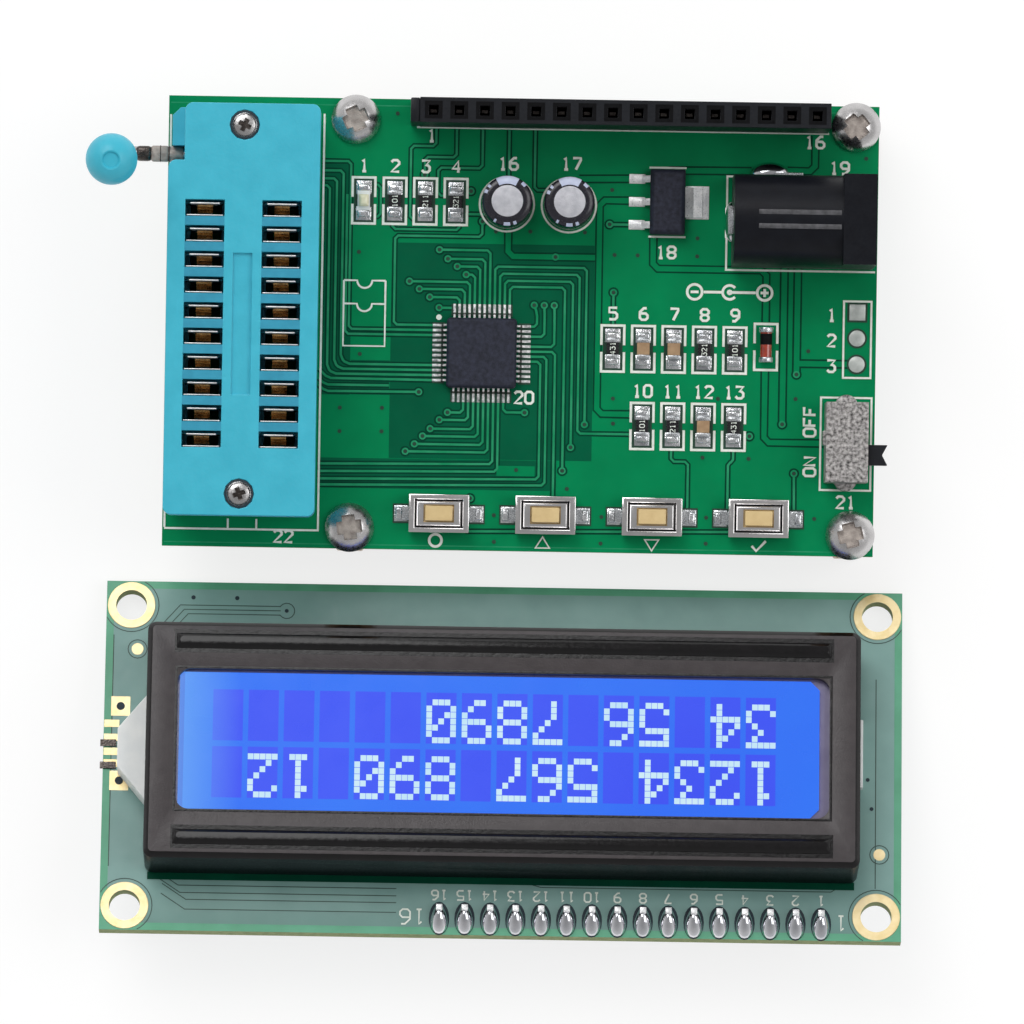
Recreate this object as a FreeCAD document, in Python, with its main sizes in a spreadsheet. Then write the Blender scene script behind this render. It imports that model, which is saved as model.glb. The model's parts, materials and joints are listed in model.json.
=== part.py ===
import FreeCAD, Part
import math
import os
from types import SimpleNamespace

import Sketcher
from FreeCAD import Placement, Rotation, Vector

# Driving sizes: millimetres, and degrees where a name ends in _angle.
# The origin is the centre of the four feet, on the floor.
SIZES = {
    # main board and its feet
    "board_length": 71.0,
    "board_width": 45.0,
    "board_thick": 1.6,
    "foot_pitch_x": 50.0,
    "foot_pitch_y": 40.8,
    "foot_edge": 2.3,
    "pillar_height": 8.0,
    "pillar_flats": 5.0,
    "pillar_bore": 3.0,
    "pillar_foot_depth": 4.4,
    "pillar_screw_depth": 2.8,
    "screw_shank": 2.9,
    "screw_hole_play": 0.3,
    "screw_reach": 2.2,
    "screw_head": 4.9,
    "screw_head_height": 1.9,
    "screw_rim": 0.75,
    "screw_crown": 3.1,
    "cross_recess": 2.7,
    "cross_width": 0.7,
    "cross_depth": 1.0,
    "lead_hole": 1.1,
    "lead_below": 1.6,
    "hole_overrun": 1.0,
    # lever socket
    "socket_x": -35.9,
    "socket_y": 0.8,
    "socket_length": 40.8,
    "socket_width": 15.0,
    "socket_inset": 0.25,
    "socket_corner": 0.8,
    "socket_base_height": 6.4,
    "socket_cover_height": 4.6,
    "socket_pitch": 2.54,
    "socket_columns": 7.62,
    "socket_row_shift": -1.45,
    "slot_length": 3.9,
    "slot_width": 1.65,
    "plate_recess_length": 14.0,
    "plate_recess_width": 1.87,
    "plate_recess_depth": 0.35,
    "notch_width": 1.6,
    "notch_length": 5.7,
    "cover_screw_from_end": 2.15,
    "cover_screw_head": 2.5,
    "cover_screw_head_height": 1.0,
    "cover_screw_shank": 1.5,
    "cover_screw_reach": 4.0,
    "cover_screw_play": 0.2,
    "cover_screw_sink": 1.2,
    "contact_width": 2.9,
    "contact_span": 0.9,
    "contact_leaf": 0.22,
    "contact_below_top": 0.7,
    "contact_standoff": 0.1,
    "contact_bridge": 1.7,
    "contact_tail": 0.5,
    "contact_pocket_play": 0.2,
    "slider_thick": 1.85,
    "slider_margin": 0.5,
    "slider_end": 0.6,
    "slider_play": 0.1,
    # lever
    "lever_from_end": 4.8,
    "lever_axis_height": 4.2,
    "lever_rod": 1.4,
    "lever_rod_play": 0.06,
    "lever_inner_end": -1.0,
    "lever_reach": 12.86,
    "lever_bend": 1.6,
    "lever_height": 15.0,
    "lever_lean_angle": 5.4,
    "lobe_radius": 1.25,
    "lobe_offset": 0.5,
    "lobe_length": 3.0,
    "lobe_start": -5.4,
    "lobe_play": 0.25,
    "knob_ball": 5.1,
    "knob_rod_depth": 2.2,
    "knob_dimple": 1.7,
    "knob_dimple_depth": 0.3,
    "knob_bore_play": 0.02,
    "keeper_length": 0.9,
    # sixteen-way header
    "header_x": 1.8,
    "header_y": 21.0,
    "header_pitch": 2.54,
    "header_width": 2.5,
    "header_height": 8.5,
    "header_end": 1.35,
    "header_mouth": 1.5,
    "header_mouth_depth": 0.6,
    "header_hole": 0.95,
    "header_leaf": 0.3,
    "header_leaf_width": 0.6,
    "header_leaf_height": 6.2,
    # power jack
    "jack_x": 12.7,
    "jack_y": 10.7,
    "jack_length": 14.1,
    "jack_width": 9.0,
    "jack_axis_height": 6.5,
    "jack_flange": 3.3,
    "jack_flange_height": 11.0,
    "jack_bore": 6.4,
    "jack_bore_depth": 10.5,
    "jack_pin": 2.0,
    "jack_pin_back": 0.4,
    "jack_pin_play": 0.02,
    "jack_blade": 0.5,
    "jack_blade_width": 2.8,
    "jack_rear_blade_top": 5.6,
    "jack_side_blade_top": 1.6,
    "jack_side_blade_x": 5.6,
    "blade_hole_play": 0.3,
    # slide switch
    "switch_x": 24.4,
    "switch_y": -11.2,
    "switch_width": 4.27,
    "switch_length": 8.03,
    "switch_height": 4.4,
    "switch_wall": 0.3,
    "switch_base_height": 1.3,
    "switch_fit": 0.05,
    "switch_travel": 2.44,
    "switch_block_width": 3.0,
    "switch_block_length": 3.4,
    "switch_block_height": 2.2,
    "switch_knob_reach": 4.1,
    "switch_knob_width": 2.05,
    "switch_knob_height": 1.5,
    "switch_knob_notch": 0.55,
    "switch_lug": 1.15,
    "switch_lug_out": 0.8,
    "switch_lug_height": 1.4,
    "switch_pin": 0.6,
    "switch_pin_pitch": 2.5,
    "switch_window_play": 0.15,
    # push buttons
    "button_x": -16.1,
    "button_y": -18.9,
    "button_pitch": 10.63,
    "button_length": 6.0,
    "button_width": 3.8,
    "button_wall": 0.25,
    "button_height": 2.1,
    "button_skirt": 0.5,
    "button_fit": 0.05,
    "button_cavity_floor": 0.5,
    "button_cavity_length": 4.0,
    "button_cavity_width": 2.6,
    "button_dome": 2.3,
    "button_dome_top": 1.1,
    "button_dome_height": 0.4,
    "plunger_length": 2.75,
    "plunger_width": 1.5,
    "plunger_rise": 0.55,
    "plunger_flange": 0.45,
    "plunger_flange_thick": 0.45,
    "plunger_gap": 0.06,
    "plunger_play": 0.15,
    "button_leg": 1.65,
    "button_leg_width": 1.3,
    "button_leg_thick": 0.2,
    # radial capacitors
    "capacitor_x": -9.8,
    "capacitor_y": 12.15,
    "capacitor_pitch": 6.2,
    "capacitor_diameter": 5.0,
    "capacitor_height": 7.0,
    "capacitor_sleeve": 0.15,
    "capacitor_face": 3.1,
    "capacitor_bung": 0.6,
    "capacitor_lead": 0.5,
    "capacitor_lead_pitch": 2.0,
    "sleeve_fit": 0.02,
    # quad flat pack
    "chip_x": -12.1,
    "chip_y": -2.8,
    "chip_side": 7.0,
    "chip_height": 1.4,
    "chip_standoff": 0.1,
    "chip_bevel": 0.25,
    "chip_lead_pitch": 0.5,
    "chip_lead_width": 0.22,
    "chip_lead_thick": 0.13,
    "chip_lead_reach": 1.0,
    "chip_lead_foot": 0.5,
    # voltage regulator
    "regulator_x": 6.25,
    "regulator_y": 12.6,
    "regulator_width": 3.5,
    "regulator_length": 6.5,
    "regulator_height": 1.6,
    "regulator_standoff": 0.05,
    "regulator_bevel": 0.35,
    "regulator_lead_thick": 0.28,
    "regulator_lead_reach": 1.75,
    "regulator_lead_foot": 0.9,
    "regulator_leg_width": 0.7,
    "regulator_leg_pitch": 2.3,
    "regulator_tab_width": 3.0,
    # chip parts
    "part_row_back_x": -21.0,
    "part_row_back_y": 12.3,
    "part_row_middle_x": 1.0,
    "part_row_middle_y": -2.1,
    "part_row_front_x": 4.05,
    "part_row_front_y": -9.8,
    "part_pitch": 3.05,
    "part_length": 2.0,
    "part_width": 1.25,
    "part_height": 0.55,
    "part_cap_height": 1.0,
    "part_end": 0.4,
    "indicator_x": -24.1,
    "indicator_base": 0.35,
    "indicator_lens": 0.55,
    "indicator_lens_inset": 0.25,
    "diode_x": 16.3,
    "diode_y": -1.5,
    "diode_diameter": 1.4,
    "diode_length": 3.5,
    "diode_end": 0.5,
    "diode_glass_step": 0.12,
    # three bare holes beside the jack
    "pad_x": 25.4,
    "pad_y": -0.7,
    "pad_pitch": 2.6,
    # display module
    "display_x": -9.32,
    "display_gap": 3.5,
    "display_length": 80.0,
    "display_width": 36.0,
    "display_hole_x": 75.0,
    "display_hole_y": 31.0,
    "display_hole": 3.1,
    "pin_row_x": 12.95,
    "pin_row_y": -15.5,
    "pin_side": 0.64,
    "pin_above": 1.5,
    "pin_below": 6.0,
    "strip_height": 2.5,
    "strip_width": 2.5,
    "joint_base": 1.9,
    "joint_top": 1.3,
    "joint_height": 1.1,
    "joint_bore": 0.8,
    "bezel_height": 7.0,
    "bezel_wall": 0.6,
    "bezel_corner": 0.9,
    "bezel_edge": 0.5,
    "window_margin_x": 1.9,
    "window_margin_y": 3.7,
    "window_corner": 1.3,
    "rib_end": 2.9,
    "rib_edge": 2.05,
    "rib_width": 1.5,
    "rib_height": 0.45,
    "rib_slope": 0.36,
    "tab_end": 7.6,
    "tab_length": 3.0,
    "tab_thick": 0.5,
    "tab_below": 0.5,
    "tab_play": 0.2,
    "wing_reach": 2.9,
    "wing_root": 10.9,
    "wing_tip": 3.9,
    "wing_play": 0.2,
    "side_cut_length": 7.0,
    "side_cut_height": 2.6,
    "light_inset": 0.1,
    "light_width": 15.6,
    "light_height": 3.2,
    "glass_length": 68.8,
    "glass_width": 21.8,
    "glass_thick": 2.2,
    "glass_play": 0.6,
    "rubber_play": 0.5,
    "rubber_width": 2.0,
    "rubber_inset": 2.4,
    "polarizer_thick": 0.25,
    "polarizer_inset_x": 0.6,
    "polarizer_inset_y": 0.2,
    "polarizer_shift": -0.4,
    "polarizer_clip": 0.9,
    "drop_diameter": 11.0,
    "drop_crown": 7.0,
    "drop_height": 1.3,
    "drop_x": 16.0,
    "strap_length": 1.6,
    "strap_width": 0.7,
    "strap_thick": 0.2,
    "strap_y": 1.15,
    "strap_gap": 0.2,
}
SOCKET_ROWS = 10
DISPLAY_WAYS = 16
CHIP_LEADS_PER_SIDE = 12
BUTTONS = 4
# Kinds of chip part in each row, from left to right.
BACK_ROW = ("resistor", "resistor", "resistor")
MIDDLE_ROW = ("resistor", "capacitor", "capacitor", "resistor", "resistor")
FRONT_ROW = ("resistor", "resistor", "capacitor", "resistor")
QUARTER = 90.0
HALF = 180.0
# Sides of the small round forms that repeat.
LEAD_SIDES = 6
SHANK_SIDES = 12
HEAD_SIDES = 24
KNOB_BANDS = 4


class Size:
    """A length with its value and the sheet formula that gives it."""

    def __init__(self, value, formula):
        self.value = value
        self.formula = formula

    def __add__(self, other):
        other = as_size(other)
        return Size(self.value + other.value, f"({self.formula} + {other.formula})")

    def __sub__(self, other):
        return self + -as_size(other)

    def __mul__(self, other):
        other = as_size(other)
        return Size(self.value * other.value, f"({self.formula} * {other.formula})")

    def __truediv__(self, other):
        other = as_size(other)
        return Size(self.value / other.value, f"({self.formula} / {other.formula})")

    def __neg__(self):
        return Size(-self.value, f"(-1 * {self.formula})")

    def __rsub__(self, other):
        return as_size(other) - self

    __radd__ = __add__
    __rmul__ = __mul__


def as_size(length):
    return length if isinstance(length, Size) else Size(float(length), f"({float(length)})")


def cosine(angle):
    return Size(math.cos(math.radians(angle.value)), f"cos({angle.formula})")


def sine(angle):
    return Size(math.sin(math.radians(angle.value)), f"sin({angle.formula})")


def arc_cosine(ratio):
    return Size(math.degrees(math.acos(ratio.value)), f"acos({ratio.formula})")


def arc_tangent(ratio):
    return Size(math.degrees(math.atan(ratio.value)), f"atan({ratio.formula})")


doc = FreeCAD.newDocument("component_tester")
sheet = doc.addObject("Spreadsheet::Sheet", "sizes")
for row, (alias, number) in enumerate(SIZES.items(), start=1):
    sheet.set(f"A{row}", alias)
    sheet.set(f"B{row}", str(number))
    sheet.setAlias(f"B{row}", alias)
doc.recompute()
S = SimpleNamespace(**{alias: Size(number, f"sizes.{alias}") for alias, number in SIZES.items()})
NODES = []


# Building blocks

def bind(obj, prop, length):
    obj.setExpression(prop, as_size(length).formula)


def place(obj, x=0, y=0, z=0):
    for axis, length in zip("xyz", (x, y, z)):
        bind(obj, f"Placement.Base.{axis}", length)
    return obj


def box(name, length, width, height, x=0, y=0, z=0):
    """A block centred on x and y, standing on z."""
    block = doc.addObject("Part::Box", name)
    for prop, side in (("Length", length), ("Width", width), ("Height", height)):
        bind(block, prop, side)
    return place(block, x - as_size(length) / 2, y - as_size(width) / 2, z)


LYING = {
    "X": Rotation(Vector(0, 1, 0), QUARTER),
    "Y": Rotation(Vector(1, 0, 0), -QUARTER),
    "Z": Rotation(),
}


def rod(name, diameter, length, x=0, y=0, z=0, along="Z"):
    """A cylinder that starts at the given point and runs along one axis."""
    shaft = doc.addObject("Part::Cylinder", name)
    bind(shaft, "Radius", as_size(diameter) / 2)
    bind(shaft, "Height", length)
    shaft.Placement = Placement(Vector(), LYING[along])
    return place(shaft, x, y, z)


def prism(name, sides, circumradius, length, x=0, y=0, z=0, along="Z"):
    shaft = doc.addObject("Part::Prism", name)
    shaft.Polygon = sides
    bind(shaft, "Circumradius", circumradius)
    bind(shaft, "Height", length)
    shaft.Placement = Placement(Vector(), LYING[along])
    return place(shaft, x, y, z)


def faceted_pin(name, sides, diameter, length, x=0, y=0, z=0, along="Z"):
    """A pin with flat sides that keeps inside its diameter."""
    return prism(name, sides, as_size(diameter) / 2, length, x, y, z, along)


def faceted_hole(name, sides, diameter, length, x=0, y=0, z=0, along="Z"):
    """A hole with flat sides that keeps outside its diameter."""
    return prism(name, sides, as_size(diameter) / (2 * math.cos(math.pi / sides)), length, x, y, z, along)


def frustum(name, foot, crown, height, z=0):
    """A square block that narrows from its foot to its top."""
    block = doc.addObject("Part::Wedge", name)
    for axis in "XZ":
        for end, side in (("", foot), ("2", crown)):
            bind(block, f"{axis}{end}min", -side / 2)
            bind(block, f"{axis}{end}max", side / 2)
    bind(block, "Ymin", 0)
    bind(block, "Ymax", height)
    block.Placement = Placement(Vector(), Rotation(Vector(1, 0, 0), QUARTER))
    return place(block, z=z)


def polygon(sides, diameter, x=0, y=0):
    """Corners of a regular polygon round a point."""
    turns = [2 * math.pi * corner / sides for corner in range(sides)]
    return [(x + diameter / 2 * math.cos(turn), y + diameter / 2 * math.sin(turn)) for turn in turns]


def group(name, pieces):
    together = doc.addObject("Part::Compound", name)
    together.Links = list(pieces)
    return together


def fuse(name, *pieces):
    joined = doc.addObject("Part::MultiFuse", name)
    joined.Shapes = list(pieces)
    return joined


def cut(name, base, *tools):
    shape = doc.addObject("Part::Cut", name)
    shape.Base = base
    shape.Tool = tools[0] if len(tools) == 1 else group(f"{name}_tools", tools)
    return shape


def copies(name, master, places):
    """The same piece at several places, each x, y, z and a turn about the upright."""
    links = []
    for number, (x, y, z, turn) in enumerate(places, start=1):
        link = doc.addObject("App::Link", f"{name}_{number}")
        link.LinkedObject = master
        link.LinkTransform = True
        link.Placement = Placement(Vector(), Rotation(Vector(0, 0, 1), turn))
        links.append(place(link, x, y, z))
    return group(name, links)


def origin_part(body, role):
    return next(part for part in body.Origin.OriginFeatures if part.Role == role)


def outline(body, role, points, lift=0):
    """A closed polygon sketch on one of the body's planes, every corner bound to the sheet."""
    sketch = body.newObject("Sketcher::SketchObject", f"{body.Name}_outline")
    sketch.AttachmentSupport = [(origin_part(body, role), "")]
    sketch.MapMode = "FlatFace"
    bind(sketch, "AttachmentOffset.Base.z", lift)
    corners = [(as_size(u), as_size(v)) for u, v in points]
    count = len(corners)
    spots = [Vector(u.value, v.value, 0) for u, v in corners]
    for number in range(count):
        sketch.addGeometry(Part.LineSegment(spots[number], spots[(number + 1) % count]))
    for number in range(count):
        sketch.addConstraint(Sketcher.Constraint("Coincident", number, 2, (number + 1) % count, 1))
    for number, corner in enumerate(corners):
        for kind, length in zip(("DistanceX", "DistanceY"), corner):
            rule = sketch.addConstraint(Sketcher.Constraint(kind, -1, 1, number, 1, length.value))
            bind(sketch, f"Constraints[{rule}]", length)
    return sketch


def rectangle(length, width, x=0, y=0):
    left, right = x - as_size(length) / 2, x + as_size(length) / 2
    front, back = y - as_size(width) / 2, y + as_size(width) / 2
    return [(left, front), (right, front), (right, back), (left, back)]


def padded(name, points, depth, role="XY_Plane", lift=0):
    body = doc.addObject("PartDesign::Body", name)
    pad = body.newObject("PartDesign::Pad", f"{name}_pad")
    pad.Profile = outline(body, role, points, lift)
    bind(pad, "Length", depth)
    body.Tip = pad
    return body


def pocket(body, points, depth, lift):
    """A cut straight down from the given height."""
    hollow = body.newObject("PartDesign::Pocket", f"{body.Name}_pocket")
    hollow.Profile = outline(body, "XY_Plane", points, lift)
    bind(hollow, "Length", depth)
    body.Tip = hollow
    return hollow


def tapered(name, sides, foot, crown, height, lift=0):
    """A block with flat sides that narrows or widens from its foot to its top."""
    body = padded(name, polygon(sides, foot), height, lift=lift)
    narrowing = (foot - crown) / 2 * math.cos(math.pi / sides)
    bind(body.Tip, "TaperAngle", -arc_tangent(narrowing / height))
    return body


def repeat(body, feature, axis, count, pitch, second_axis=None, second_count=1, second_pitch=0):
    pattern = body.newObject("PartDesign::LinearPattern", f"{body.Name}_pattern")
    pattern.Originals = [feature]
    pattern.Direction = (origin_part(body, axis), [""])
    pattern.Occurrences = count
    bind(pattern, "Length", as_size(pitch) * (count - 1))
    if second_axis:
        pattern.Direction2 = (origin_part(body, second_axis), [""])
        pattern.Occurrences2 = second_count
        bind(pattern, "Length2", as_size(second_pitch) * (second_count - 1))
    body.Tip = pattern
    return pattern


def turned(name, points, angle=2 * HALF):
    """A piece turned about its upright axis, from radius and height pairs."""
    body = doc.addObject("PartDesign::Body", name)
    sketch = outline(body, "XZ_Plane", points)
    turn = body.newObject("PartDesign::Revolution", f"{name}_turn")
    turn.Profile = sketch
    turn.ReferenceAxis = (sketch, ["V_Axis"])
    turn.Angle = angle
    body.Tip = turn
    return body


def is_upright(edge):
    ends = [vertex.Point for vertex in edge.Vertexes]
    return len(ends) == 2 and abs(ends[0].x - ends[1].x) + abs(ends[0].y - ends[1].y) < 1e-6


def soften(body, radius, wanted, kind="Fillet"):
    """Rounds or bevels the edges that are wanted."""
    doc.recompute()
    feature = body.Tip
    names = [f"Edge{number}" for number, edge in enumerate(feature.Shape.Edges, start=1) if wanted(edge)]
    finish = body.newObject(f"PartDesign::{kind}", f"{body.Name}_{kind.lower()}")
    finish.Base = (feature, names)
    bind(finish, "Radius" if kind == "Fillet" else "Size", radius)
    body.Tip = finish
    return finish


def rounded_block(name, length, width, height, corner, z=0, kind="Fillet"):
    body = padded(name, rectangle(length, width), height, lift=z)
    soften(body, corner, is_upright, kind)
    return body


def edges_at_height(height):
    return lambda edge: all(abs(vertex.Point.z - height.value) < 1e-6 for vertex in edge.Vertexes)


# Seats: where each sub-part stands

board_top = S.pillar_height + S.board_thick
tilt_rise = S.strip_height + S.pin_below
tilt_run = S.display_width / 2 - S.pin_row_y - S.pin_side / 2
display_tilt = arc_tangent(tilt_rise / tilt_run)


def stand(obj, label, x=0, y=0):
    """Registers a sub-part that stands on the main board's top face."""
    obj.Label = label
    NODES.append(obj)
    return place(obj, x, y, board_top)


def lay(obj, label):
    """Registers a sub-part of the display, which leans on its pin tips and far edge."""
    obj.Label = label
    NODES.append(obj)
    far = S.display_width / 2
    obj.Placement = Placement(Vector(), Rotation(Vector(1, 0, 0), -display_tilt.value))
    bind(obj, "Placement.Rotation.Angle", -display_tilt)
    place(
        obj,
        S.display_x,
        -S.board_width / 2 - S.display_gap - far * cosine(display_tilt),
        far * sine(display_tilt) + S.board_thick * cosine(display_tilt),
    )
    return obj


def feet():
    return [(S.foot_pitch_x / 2 * i, S.foot_pitch_y / 2 * j) for i in (-1, 1) for j in (-1, 1)]


def header_ways():
    first = -S.header_pitch * (DISPLAY_WAYS - 1) / 2
    return [first + S.header_pitch * way for way in range(DISPLAY_WAYS)]


def socket_ways():
    first = S.socket_row_shift - S.socket_pitch * (SOCKET_ROWS - 1) / 2
    rows = [first + S.socket_pitch * row for row in range(SOCKET_ROWS)]
    return [(S.socket_columns / 2 * side, y) for side in (-1, 1) for y in rows]


def switch_pins():
    return [S.switch_pin_pitch * step for step in (-1, 0, 1)]


def capacitors():
    return [(S.capacitor_x + S.capacitor_pitch * step, S.capacitor_y) for step in (0, 1)]


def through_board(name, sides, diameter, x, y):
    depth = S.board_thick + 2 * S.hole_overrun
    return faceted_hole(name, sides, diameter, depth, x, y, -S.board_thick - S.hole_overrun)


def lead_slot(name, x, y):
    """A square hole through a board for a square or flat lead."""
    depth = S.board_thick + 2 * S.hole_overrun
    return box(name, S.lead_hole, S.lead_hole, depth, x, y, -S.board_thick - S.hole_overrun)


# Main board, screws and pillars

def main_board():
    centre_x = S.foot_pitch_x / 2 + S.foot_edge - S.board_length / 2
    blank = box("board_blank", S.board_length, S.board_width, S.board_thick, centre_x, 0, -S.board_thick)
    shank_hole = S.screw_shank + S.screw_hole_play
    holes = [through_board(f"screw_hole_{n}", SHANK_SIDES, shank_hole, x, y)
             for n, (x, y) in enumerate(feet())]
    spots = [(S.header_x + x, S.header_y) for x in header_ways()]
    spots += [(S.socket_x + x, S.socket_y + y) for x, y in socket_ways()]
    spots += [(S.switch_x, S.switch_y + y) for y in switch_pins()]
    holes += [lead_slot(f"board_slot_{n}", x, y) for n, (x, y) in enumerate(spots)]
    spots = [(S.pad_x, S.pad_y + S.pad_pitch * step) for step in (-1, 0, 1)]
    for x, y in capacitors():
        spots += [(x + S.capacitor_lead_pitch / 2 * side, y) for side in (-1, 1)]
    holes += [through_board(f"board_hole_{n}", LEAD_SIDES, S.lead_hole, x, y)
              for n, (x, y) in enumerate(spots)]
    slot_length = S.jack_blade_width + S.blade_hole_play
    slot_width = S.jack_blade + S.blade_hole_play
    slot_depth = S.board_thick + 2 * S.hole_overrun
    low = -S.board_thick - S.hole_overrun
    rear_x = S.jack_x - S.jack_blade / 2
    side_x = S.jack_x + S.jack_side_blade_x
    side_y = S.jack_y + S.jack_width / 2 + S.jack_blade / 2
    holes.append(box("rear_slot", slot_width, slot_length, slot_depth, rear_x, S.jack_y, low))
    holes.append(box("side_slot", slot_length, slot_width, slot_depth, side_x, side_y, low))
    stand(cut("main_pcb", blank, *holes), "main_pcb")


def fasteners():
    overrun = S.hole_overrun
    pillar_blank = faceted_hole("pillar_blank", 6, S.pillar_flats, S.pillar_height)
    foot_bore = rod("pillar_foot_bore", S.pillar_bore, S.pillar_foot_depth + overrun, z=-overrun)
    screw_bore = faceted_hole("pillar_screw_bore", SHANK_SIDES, S.pillar_bore, S.pillar_screw_depth + overrun,
                              z=S.pillar_height - S.pillar_screw_depth)
    pillar = cut("pillar", pillar_blank, foot_bore, screw_bore)
    below = -S.board_thick - S.pillar_height
    stand(copies("pillars", pillar, [(x, y, below, 0) for x, y in feet()]), "hex_pillars")

    top = S.screw_head_height
    rim = faceted_pin("screw_rim", HEAD_SIDES, S.screw_head, S.screw_rim)
    dome = tapered("screw_dome", HEAD_SIDES, S.screw_head, S.screw_crown, top - S.screw_rim, S.screw_rim)
    reach = S.board_thick + S.screw_reach
    shank = faceted_pin("screw_shank", SHANK_SIDES, S.screw_shank, reach, z=-reach)
    recess = cross_recess("screw", S.cross_recess, S.cross_width, S.cross_depth, top)
    screw = cut("dome_screw", fuse("screw_blank", rim, dome, shank), recess)
    stand(copies("mounting_screws", screw, [(x, y, 0, 0) for x, y in feet()]), "mounting_screws")


def cross_recess(name, span, width, depth, top):
    """The cross cut of a screw head, sunk below the given height."""
    bars = [box(f"{name}_bar_{a}", a_len, a_wid, depth * 2, z=top - depth)
            for a, a_len, a_wid in (("long", span, width), ("wide", width, span))]
    return fuse(f"{name}_recess", *bars)


# Lever socket, modelled about its own centre

def lever_y():
    return S.socket_length / 2 - S.lever_from_end


def cover_screw_y():
    return S.socket_length / 2 - S.cover_screw_from_end


def lever_half_angle():
    return (QUARTER + S.lever_lean_angle) / 2


def slider_travel():
    return 2 * S.lobe_offset * sine(lever_half_angle())


def slider_far_end():
    """Where the slider's end rests against the lever's lobe."""
    return lever_y() - slider_travel() / 2 - S.lobe_radius - S.slider_play


def slider_near_end():
    lowest_row = S.socket_row_shift - S.socket_pitch * (SOCKET_ROWS - 1) / 2
    return lowest_row - S.contact_span / 2 - S.slider_play - slider_travel() - S.slider_end


def slider_width():
    return S.socket_columns + S.slot_length + 2 * S.slider_margin


def span_box(name, x_ends, y_ends, z_ends):
    """A block between pairs of limits."""
    sides = [ends[1] - as_size(ends[0]) for ends in (x_ends, y_ends, z_ends)]
    return box(name, *sides, x_ends[0] + sides[0] / 2, y_ends[0] + sides[1] / 2, z_ends[0])


def lever_socket():
    socket_base()
    socket_cover()
    socket_contacts()
    socket_slider()
    lever()


def socket_base():
    width, length = S.socket_width - 2 * S.socket_inset, S.socket_length - 2 * S.socket_inset
    top = S.socket_base_height
    above = top + S.hole_overrun
    blank = rounded_block("socket_base_blank", width, length, top, S.socket_corner, kind="Chamfer")
    floor = top - S.slider_thick - S.slider_play
    half = slider_width() / 2 + S.slider_play
    far = slider_far_end() + slider_travel() + S.slider_play
    near = slider_near_end() - S.slider_play
    recess = span_box("slider_recess", (-half, half), (near, far), (floor, above))
    lobe_end = S.lobe_start + S.lobe_length
    lobe_low = S.lever_axis_height - S.lobe_radius - S.lobe_play
    chamber = span_box(
        "lobe_chamber",
        (S.lobe_start - S.lobe_play, lobe_end + S.lobe_play),
        (slider_far_end(), lever_y() + slider_travel() / 2 + S.lobe_radius + S.lobe_play),
        (lobe_low, above),
    )
    reach = S.lever_rod / 2 + S.lever_rod_play
    channel = span_box(
        "rod_channel",
        (-S.socket_width, S.lever_inner_end + S.lever_rod_play),
        (lever_y() - reach, lever_y() + reach),
        (S.lever_axis_height - reach, above),
    )
    hollows = fuse("socket_hollows", recess, chamber, channel)
    play = S.contact_pocket_play
    wells = [box(f"contact_well_{n}", S.contact_width + play, S.contact_span + play, above + S.hole_overrun,
                 x, y, -S.hole_overrun) for n, (x, y) in enumerate(socket_ways())]
    pilots = [faceted_hole(f"pilot_{side}", LEAD_SIDES, S.cover_screw_shank + S.cover_screw_play, above,
                           0, cover_screw_y() * side, top - S.cover_screw_reach) for side in (-1, 1)]
    base = cut("socket_base", cut("socket_base_hollowed", blank, hollows), *wells, *pilots)
    stand(base, "socket_base", S.socket_x, S.socket_y)


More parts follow.
